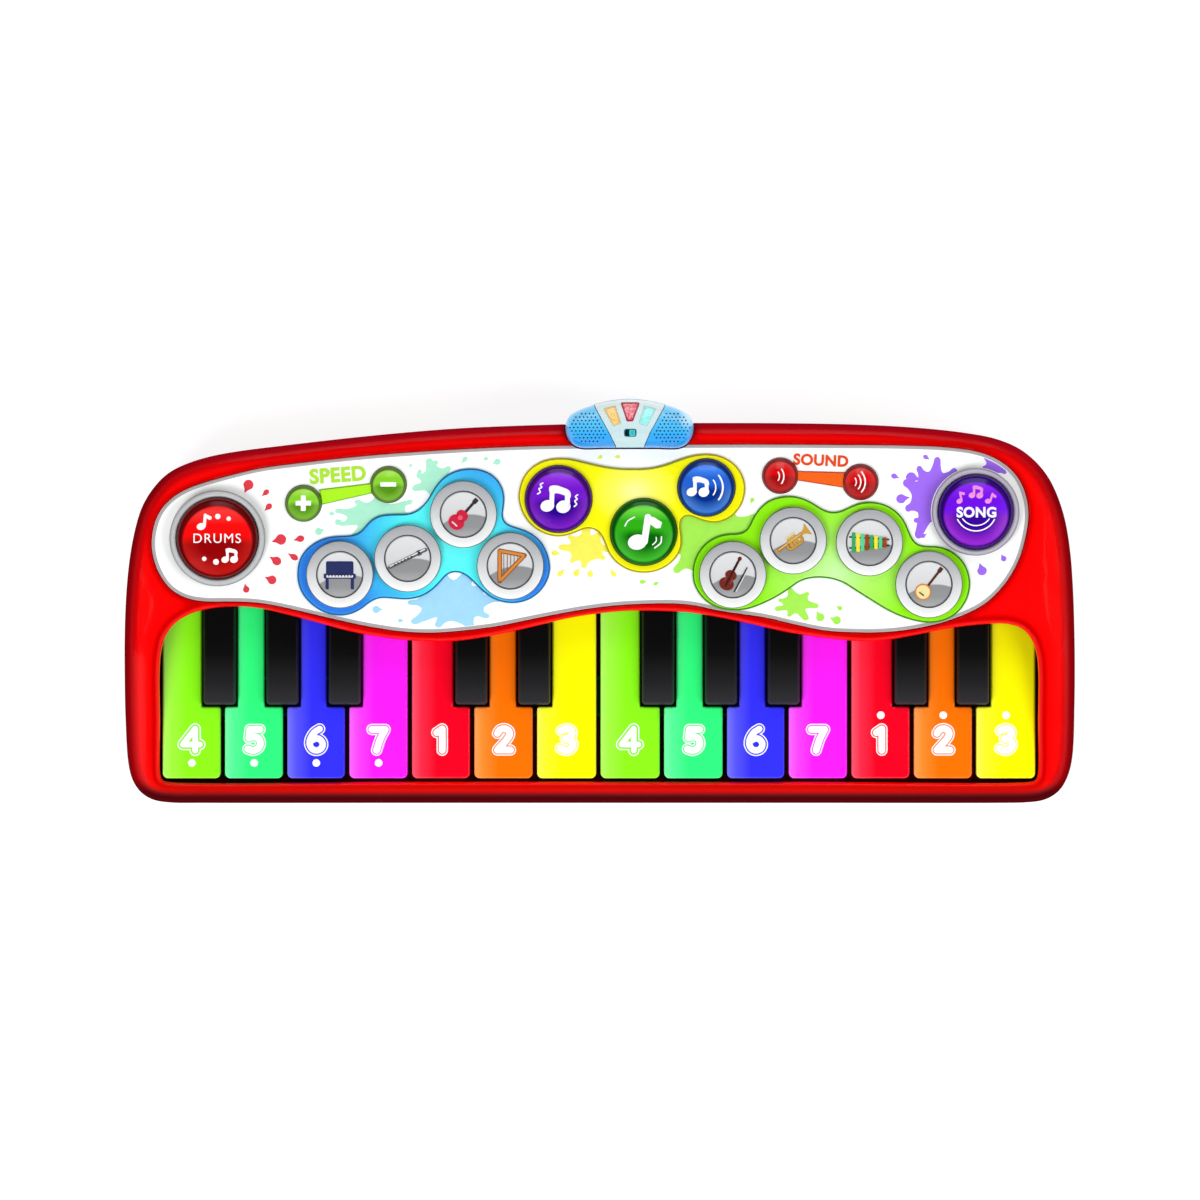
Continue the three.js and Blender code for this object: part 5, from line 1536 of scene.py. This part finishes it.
# ---------------------------------------------------------------- keys
DIGITS = "45671234567123"  # one for each natural key, from the left
DIGIT_SIZE, DIGIT_Y = 11.7, -62.3
DIGIT_STROKES = {
    "1": [[(-0.17, 0.27), (0.04, 0.41)], [(0.04, 0.41), (0.04, -0.41)]],
    "2": [[(-0.24, 0.24), (-0.14, 0.38), (0.04, 0.42), (0.20, 0.33), (0.22, 0.17),
           (0.10, -0.02), (-0.08, -0.22), (-0.24, -0.40)], [(-0.24, -0.40), (0.26, -0.40)]],
    "3": [[(-0.22, 0.34), (-0.04, 0.42), (0.15, 0.37), (0.20, 0.22), (0.11, 0.08),
           (-0.06, 0.03)],
          [(-0.06, 0.03), (0.14, -0.03), (0.24, -0.18), (0.16, -0.35), (-0.04, -0.42),
           (-0.25, -0.34)]],
    "4": [[(0.13, -0.42), (0.13, 0.40)], [(0.13, 0.42), (-0.34, -0.18)],
          [(-0.34, -0.19), (0.31, -0.19)]],
    "5": [[(0.23, 0.39), (-0.16, 0.39)], [(-0.16, 0.39), (-0.20, 0.06)],
          [(-0.20, 0.06), (0.02, 0.11), (0.19, 0.02), (0.24, -0.16), (0.15, -0.34),
           (-0.04, -0.42), (-0.24, -0.36)]],
    "6": [[(0.13, 0.41), (-0.08, 0.27), (-0.22, 0.05), (-0.26, -0.16), (-0.17, -0.35),
           (0.0, -0.42), (0.18, -0.35), (0.25, -0.17), (0.16, -0.01), (0.0, 0.05),
           (-0.17, -0.03)]],
    "7": [[(-0.26, 0.39), (0.25, 0.39)], [(0.25, 0.39), (0.06, 0.02), (-0.08, -0.41)]],
}
KEY_INK = {tone: ink("key_line_" + tone, colour) for tone, colour in KEY_COLOURS}


@cache
def figure_mesh(digit, width, rise):
    """A digit drawn with a line of this width, round the origin in plan."""
    lines = [[(x * DIGIT_SIZE, y * DIGIT_SIZE) for x, y in flow(line, 3)]
             for line in DIGIT_STROKES[digit]]
    if digit == "6" and width >= 4:
        lines.append([(-0.3, -2.2), (0.1, -2.0)])  # fills the bowl
    obj = thick_lines("figure", lines, width, KEY_TOP - 0.1, KEY_TOP + rise)
    data = obj.data
    bpy.data.objects.remove(obj)
    return data


def add_tail(key, left, right):
    """The rear of a key, kept clear of the posts, with a bore for the hinge rod."""
    start, end = left, right
    for post_left, post_right in POSTS:
        if start - 0.6 < post_right < (start + end) / 2:
            start = max(start, post_right + 0.9)
        if (start + end) / 2 < post_left < end + 0.6:
            end = min(end, post_left - 0.9)
    tail = rect(start, end, STEP_Y - 1.2, TAIL_END_Y, 0.4)
    boolean(key, prism("tail", tail, KEY_BOTTOM, TAIL_TOP), "UNION")
    bore_r = ROD_R + 0.3
    bore = lathe("tool", 0, 0, [(0, start - 1), (bore_r, start - 1), (bore_r, end + 1),
                                (0, end + 1)], 32)
    bore.data.transform(Matrix.Translation((0, ROD_Y, ROD_Z))
                        @ Matrix.Rotation(math.radians(90), 4, "Y"))
    boolean(key, bore)


def natural_key(name, body, i, tone):
    """A natural key, narrowed behind the fronts of the sharps beside it."""
    x0, x1 = KEY_BOUNDS_X[i] + KEY_GAP / 2, KEY_BOUNDS_X[i + 1] - KEY_GAP / 2
    narrow0, narrow1 = x0, x1
    notch = SHARP_FRONT_Y - 0.7
    line, radii = [(x0, KEY_FRONT_Y), (x1, KEY_FRONT_Y)], [2.4, 2.4]
    if i + 1 in SHARP_X:
        narrow1 = SHARP_X[i + 1] - SHARP_W / 2 - NARROW_GAP
        line += [(x1, notch), (narrow1, notch)]
        radii += [1.1, 0.5]
    if i in SHARP_X:
        narrow0 = SHARP_X[i] + SHARP_W / 2 + NARROW_GAP
    line += [(narrow1, STEP_Y), (narrow0, STEP_Y)]
    radii += [0.6, 0.6]
    if i in SHARP_X:
        line += [(narrow0, notch), (x0, notch)]
        radii += [0.5, 1.1]
    key = soft_prism(name + "_cap", round_corners(line, radii), KEY_BOTTOM, KEY_TOP, 0.95, 0.2,
                     parts=5)
    hollow = rect(x0 + 2, x1 - 2, KEY_FRONT_Y + 2, notch - 2, 1.0)
    boolean(key, prism("tool", hollow, KEY_BOTTOM - 2, KEY_TOP - 2.4))
    add_tail(key, narrow0, narrow1)
    tidy(key)
    done(key, body, KEY_PLASTIC[tone], "key_" + tone, name)
    return (x0 + x1) / 2 + 0.1


def key_figure(name, body, digit, tone, x):
    """The number: white, a thin line in the key's colour, white again."""
    inner = {"4": 2.55, "6": 2.9}.get(digit, 3.15)
    layers = ((5.1, WHITE_INK, 0.22, "panel_white"), (4.0, KEY_INK[tone], 0.27, "key_" + tone),
              (inner, WHITE_INK, 0.34, "panel_white"))
    for layer, (width, material, rise, slot) in enumerate(layers):
        mesh = figure_mesh(digit, width, rise)
        obj = link_object("%s_digit_%d" % (name, layer + 1), mesh.copy())
        obj.data.transform(Matrix.Translation((x, DIGIT_Y, 0)))
        done(obj, body, material, slot, weighted=False)


for i, digit in enumerate(DIGITS):
    name, body = "natural_key_%02d" % (i + 1), "natural_%02d" % (i + 1)
    tone = KEY_COLOURS[i % 7][0]
    x = natural_key(name, body, i, tone)
    key_figure(name, body, digit, tone, x)
    if i < 4 or i > 10:  # a dot in front of the number, or behind it
        dot = lathe(name + "_dot", x, -72.8 if i < 4 else -51.3, [
            (0, KEY_TOP - 0.1), (1.75, KEY_TOP - 0.1), (1.75, KEY_TOP + 0.2),
            (1.5, KEY_TOP + 0.32), (0, KEY_TOP + 0.34)], 32)
        done(dot, body, WHITE_INK, "panel_white", weighted=False)


def deck_edge(x):
    """The rear edge of the key opening at x."""
    return max(y0 + (x - x0) / (x1 - x0) * (y1 - y0) for (x0, y0), (x1, y1)
               in edges(opening_line) if (x0 - x) * (x1 - x) <= 0 and x0 != x1)


for i, x in enumerate(SHARP_X.values()):
    name, body = "sharp_key_%02d" % (i + 1), "sharp_%02d" % (i + 1)
    x0, x1 = x - SHARP_W / 2, x + SHARP_W / 2
    edge = min(STEP_Y - 1, max(deck_edge(x0), deck_edge(x1), deck_edge(x)) + 1.6)
    line = round_corners([(x0, SHARP_FRONT_Y), (x1, SHARP_FRONT_Y), (x1, edge), (x0, edge)],
                         [2.0, 2.0, 0.3, 0.3], 7)
    key = loft(name + "_cap", [ring(line, KEY_BOTTOM),
                               *round_over(line, 1.3, SHARP_TOP, 1.6, 6, start=0.5)])
    shelf = rect(x0 + 0.1, x1 - 0.1, edge - 2, STEP_Y, 0.3)
    boolean(key, prism("tool", shelf, KEY_BOTTOM, KEY_TOP), "UNION")
    hollow = rect(x0 + 2, x1 - 2, -36, -8, 0.6)
    boolean(key, prism("tool", hollow, KEY_BOTTOM - 2, KEY_TOP - 2.4))
    add_tail(key, x0 + 1.2, x1 - 1.2)
    tidy(key)
    done(key, body, KEY_BLACK, "key_black", name)

# ---------------------------------------------------------------- speaker and lamp pod
POD_TOP, POD_ROUND = 52.2, 8.6
POD_LEFT, POD_RIGHT = Vector((-11.0, 77.6)), Vector((38.0, 77.6))  # ends of its long axis
SPEAKER_Y = 78.0
SPEAKERS = (("left", -4.6, 1), ("right", 31.6, -1))  # name, x, direction of the hole columns
# outline, frame colour, deep and pale lens colours
LAMPS = {
    "red": (outline("9.29 89.41, 18.16 89.41, 14.92 80.68, 12.08 80.68"),
            (178, 44, 70), (216, 78, 100), (255, 216, 220)),
    "amber": (outline("1.6 86.53, 7.0 87.88, 9.65 79.74, 5.96 78.61"),
              (240, 214, 130), (236, 192, 92), (255, 244, 204)),
    "cyan": (outline("20.05 87.88, 25.45 86.53, 21.17 78.61, 17.48 79.74"),
             (184, 244, 240), (142, 236, 232), (214, 252, 250)),
}
SWITCH_X, SWITCH_Y = 13.7, 75.6


def pod_inset(share):
    """The pod's outline drawn in towards its long axis."""
    out, axis = [], POD_RIGHT - POD_LEFT
    for x, y in pod_line:
        spot = Vector((x, y))
        along = max(0.0, min(1.0, (spot - POD_LEFT).dot(axis) / axis.length_squared))
        aim = POD_LEFT.lerp(POD_RIGHT, along)
        out.append((spot.x + (aim.x - spot.x) * share, spot.y + (aim.y - spot.y) * share))
    return out


def pod_rings(low, top, inset=0.0):
    rings = [ring(pod_inset(inset), low)]
    for a in quarter(14):
        share = inset + (0.82 - inset) * (1 - math.cos(a)) ** 0.9
        rings.append(ring(pod_inset(share), top - POD_ROUND * (1 - math.sin(a) ** 0.9)))
    return rings


pod = loft("pod_housing", pod_rings(24.0, POD_TOP))
pod_skin = skin([pod])


def pod_z(x, y):
    hit = pod_skin.ray_cast(Vector((x, y, 200)), Vector((0, 0, -1)))[0]
    return hit.z if hit else 46.0


def on_pod(name, line, below, above, cell):
    """Solid that follows the pod's skin, from below it to above it (mm)."""
    obj = prism(name, line, 0.0, 1.0)
    split_to_cells(obj, cell)
    return move_z(obj, lambda x, y, z: pod_z(x, y) + (above if z > 0.5 else -below))


def lamp_line(line, inset, r):
    return round_corners(offset(line, -inset), [r] * 4, 4)


def pod_painted_light(mat):
    """Blue, with painted light: paler to the rear, and a painted highlight patch at the right end.
    """
    share = mat.remap(mat.xyz()[1], (0.0665, 0.0885))
    body = mat.ramp(share, [(0.0, (8, 134, 230)), (0.24, (16, 152, 238)), (0.5, (76, 190, 250)),
                            (1.0, (122, 210, 253))])
    patch = mat.remap(mat.distance_to(39.0, 82.2, 3.2, 4.6), (0.4, 1.2), (0.75, 0))
    return mat.mix(patch, body, linear((196, 234, 255)))


# painted light: the pale centre panel is paler to the rear, like the blue housing
def pod_centre_painted_light(mat):
    return mat.ramp(mat.remap(mat.xyz()[1], (0.070, 0.089)), [
        (0.0, (192, 218, 224)), (0.5, (206, 230, 234)), (1.0, (230, 243, 242))])


def speaker_holes():
    """Cutters in staggered rows over each speaker, outside the centre panel."""
    spots = []
    for _, centre_x, side in SPEAKERS:
        for row in range(-4, 5):
            for column in range(-5, 6):
                x = centre_x + side * (column * 1.75 + (0.875 if row % 2 else 0))
                y = SPEAKER_Y + row * 1.55
                if ((x - centre_x) / 8.8) ** 2 + ((y - SPEAKER_Y) / 6.8) ** 2 < 1:
                    spots.append((x, y))
    return prisms("tool", [
        circle(x, y, 0.38, 10) for x, y in spots
        if min(math.hypot(x - cx, y - cy) for cx, cy in centre_line) > 1.3
        and not within(x, y, centre_line)], 38, 80)


centre_line = even(ccw(POD_CENTRE), 0.7)
boolean(pod, loft("tool", pod_rings(27.0, 49.0, 0.22)))
centre = loft("pod_centre_full", pod_rings(42.0, POD_TOP - 0.15, 0.012))
boolean(pod, prism("tool", offset(centre_line, 0.18), 43.5, 80))
boolean(pod, speaker_holes())
tidy(pod)
done(pod, "case", plastic("pod_blue", pod_painted_light, rough=0.2, coat=0.5, vary=0.02, wear=0.1),
     "pod_blue", "pod_shell")
for side, x, _ in SPEAKERS:
    cloth_line = place([ [(10.2 * a, 7.6 * b) for a, b in circle(0, 0, 1, 48)] ], x, SPEAKER_Y)[0]
    cloth = on_pod(side + "_speaker_cloth", cloth_line, below=3.0, above=-2.4, cell=1.8)
    boolean(cloth, prism("tool", offset(centre_line, 1.2), 30, 80))
    done(cloth, "case", rubber(side + "_cloth", (40, 128, 200)), "speaker_black")
boolean(centre, prism("tool", offset(centre_line, -0.12), 43.7, 80), "INTERSECT")
for line, *_ in LAMPS.values():
    boolean(centre, prism("tool", lamp_line(line, 0.04, 0.6), 30, 80))


def switch_rect(half_x, half_y, r, x=SWITCH_X):
    return rect(x - half_x, x + half_x, SWITCH_Y - half_y, SWITCH_Y + half_y, r)


boolean(centre, prism("tool", switch_rect(2.8, 1.8, 1.0), 30, 80))
tidy(centre)
pod_pale = plastic("pod_pale", pod_centre_painted_light, rough=0.35, coat=0.1, vary=0.03, wear=0.05)
done(centre, "case", pod_pale, "pod_pale", "pod_center_panel")

for tone, (line, rim, deep, pale) in LAMPS.items():
    lamp_frame = on_pod(tone + "_lamp_frame", lamp_line(line, 0.12, 0.6), below=4.0,
                        above=0.02, cell=1.0)
    boolean(lamp_frame, prism("tool", lamp_line(line, 0.66, 0.45), 0, 90))
    done(lamp_frame, "case", ink(tone + "_lamp_frame", rim), "lens_clear")
    lens = on_pod(tone + "_lamp", lamp_line(line, 0.72, 0.42), below=3.6, above=0.22, cell=1.0)
    done(lens, "case", lens_material(tone + "_lens", deep, pale), "lens_clear",
         "lamp_lens" if tone == "red" else None)

knob_x = SWITCH_X + 0.9
knob = soft_prism("power_switch_knob", switch_rect(1.35, 1.4, 0.55, knob_x), 47.0, 52.55, 0.35)
boolean(knob, prism("tool", rect(12.2, 17.7, 73.7, 78.1, 0.3), 46.4, 47.5), "UNION")
for dx in (-0.6, 0, 0.6):
    boolean(knob, prism("tool", switch_rect(0.12, 0.9, 0.1, knob_x + dx), 52.3, 53))
tidy(knob)
done(knob, "slider", plastic("switch_teal", (70, 206, 214), rough=0.35, wear=0.1),
     "slider_teal", "power_slider")
well = prism("power_switch_well", switch_rect(2.75, 1.75, 1.2), 47.9, 51.4)
boolean(well, prism("tool", switch_rect(2.35, 1.5, 1.0), 40, 60))
done(well, "case", plastic("switch_well", (8, 140, 152), rough=0.4), "slider_teal")

# ---------------------------------------------------------------- carried-over internals
for node, material in (("panel_circuit_board", BOARD), ("key_contact_board", BOARD),
                       ("button_dome_sheet", SILICONE), ("key_dome_strip", DARK_SILICONE),
                       ("left_speaker", SPEAKER_CONE), ("right_speaker", SPEAKER_CONE),
                       ("key_hinge_rod", ROD_STEEL)):
    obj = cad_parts[node]
    if not obj.data.materials:
        obj.data.materials.append(material)
    for slot in obj.material_slots:
        slot.material = material

# ---------------------------------------------------------------- stage (metres from here on)


def floor_material():
    """Pale and softly glowing from above, clear from below."""
    mat = Shader("floor_pale")
    mat.surface({"Base Color": (0.42, 0.42, 0.425, 1), "Roughness": 0.7,
                 "Specular IOR Level": 0.1, "Emission Color": (1, 1, 1, 1),
                 "Emission Strength": 0.78})
    geometry = mat.node("ShaderNodeNewGeometry")
    clear = mat.node("ShaderNodeBsdfTransparent")
    mixer = mat.node("ShaderNodeMixShader")
    sources = (geometry.outputs["Backfacing"], mat.bsdf.outputs[0], clear.outputs[0])
    for socket, source in zip(mixer.inputs, sources):
        mat.feed(socket, source)
    mat.feed(mat.tree.nodes["Material Output"].inputs["Surface"], mixer.outputs[0])
    return mat.material


mesh = bmesh.new()
for x, y in ((-3, -3), (3, -3), (3, 3), (-3, 3)):
    mesh.verts.new((x, y, -0.0002))
mesh.faces.new(mesh.verts)
floor = mesh_object("floor", mesh)
floor.data.materials.append(floor_material())
if floor.data.polygons[0].normal.z < 0:
    floor.data.flip_normals()

# the world: grey by height, dark overhead
world = bpy.data.worlds.new("studio")
scene.world = world
world.use_nodes = True
nodes, links = world.node_tree.nodes, world.node_tree.links
background = nodes["Background"]
coordinates = nodes.new("ShaderNodeTexCoord")
split = nodes.new("ShaderNodeSeparateXYZ")
sky = nodes.new("ShaderNodeValToRGB")
links.new(coordinates.outputs["Generated"], split.inputs[0])
links.new(split.outputs[2], sky.inputs[0])
links.new(sky.outputs[0], background.inputs["Color"])
set_stops(sky, [(height, (grey, grey, grey, 1)) for height, grey
                in ((0.0, 0.8), (0.40, 0.9), (0.66, 0.30), (0.80, 0.04))])
background.inputs["Strength"].default_value = 1.02


def area(name, place, size, power, target=(0, 0, 0), glossy=True, size_y=None):
    light = bpy.data.lights.new(name, "AREA")
    light.energy, light.size = power, size
    if size_y:
        light.shape, light.size_y = "RECTANGLE", size_y
    obj = bpy.data.objects.new(name, light)
    obj.location = place
    aim = Vector(target) - Vector(place)
    obj.rotation_euler = aim.to_track_quat("-Z", "Y").to_euler()
    scene.collection.objects.link(obj)
    obj.visible_glossy = glossy
    return obj


area("key_light", (-0.75, -0.85, 1.2), size=0.75, power=15.5, glossy=False)
area("fill_light", (1.15, -0.35, 1.15), size=0.9, power=11.5, glossy=False)
area("rear_light", (0.1, 1.35, 1.1), size=1.0, power=5.5)

# two small lights seen only as reflections in the top case
case_only = bpy.data.collections.new("case_glints")
case_only.objects.link(shell)
for glint in (
        area("left_glint", (-0.46, 0.0, 1.5), size=0.16, size_y=0.06, power=0.030,
             target=(0, 0, 0.04)),
        area("right_glint", (0.46, 0.035, 1.5), size=0.16, size_y=0.05, power=0.028,
             target=(0, 0, 0.04))):
    glint.visible_diffuse = False
    glint.visible_camera = False
    glint.light_linking.receiver_collection = case_only

# the camera looks straight down; VIEW_WIDTH is what it takes in at FOCUS_Z
CAMERA_Z, FOCUS_Z, VIEW_WIDTH, SENSOR = 6.0, 0.035, 0.54, 36
lens_data = bpy.data.cameras.new("camera")
camera = link_object("camera", lens_data)
scene.camera = camera
camera.location = (0.00011, 0.00058, CAMERA_Z)
camera.rotation_euler = (0, 0, 0)
lens_data.sensor_width = SENSOR
lens_data.lens = SENSOR * (CAMERA_Z - FOCUS_Z) / VIEW_WIDTH
lens_data.clip_start, lens_data.clip_end = 0.1, 20
scene.view_settings.view_transform = "Standard"
scene.view_settings.look = "None"
scene.view_settings.exposure = 0.0
scene.view_settings.gamma = 1.0
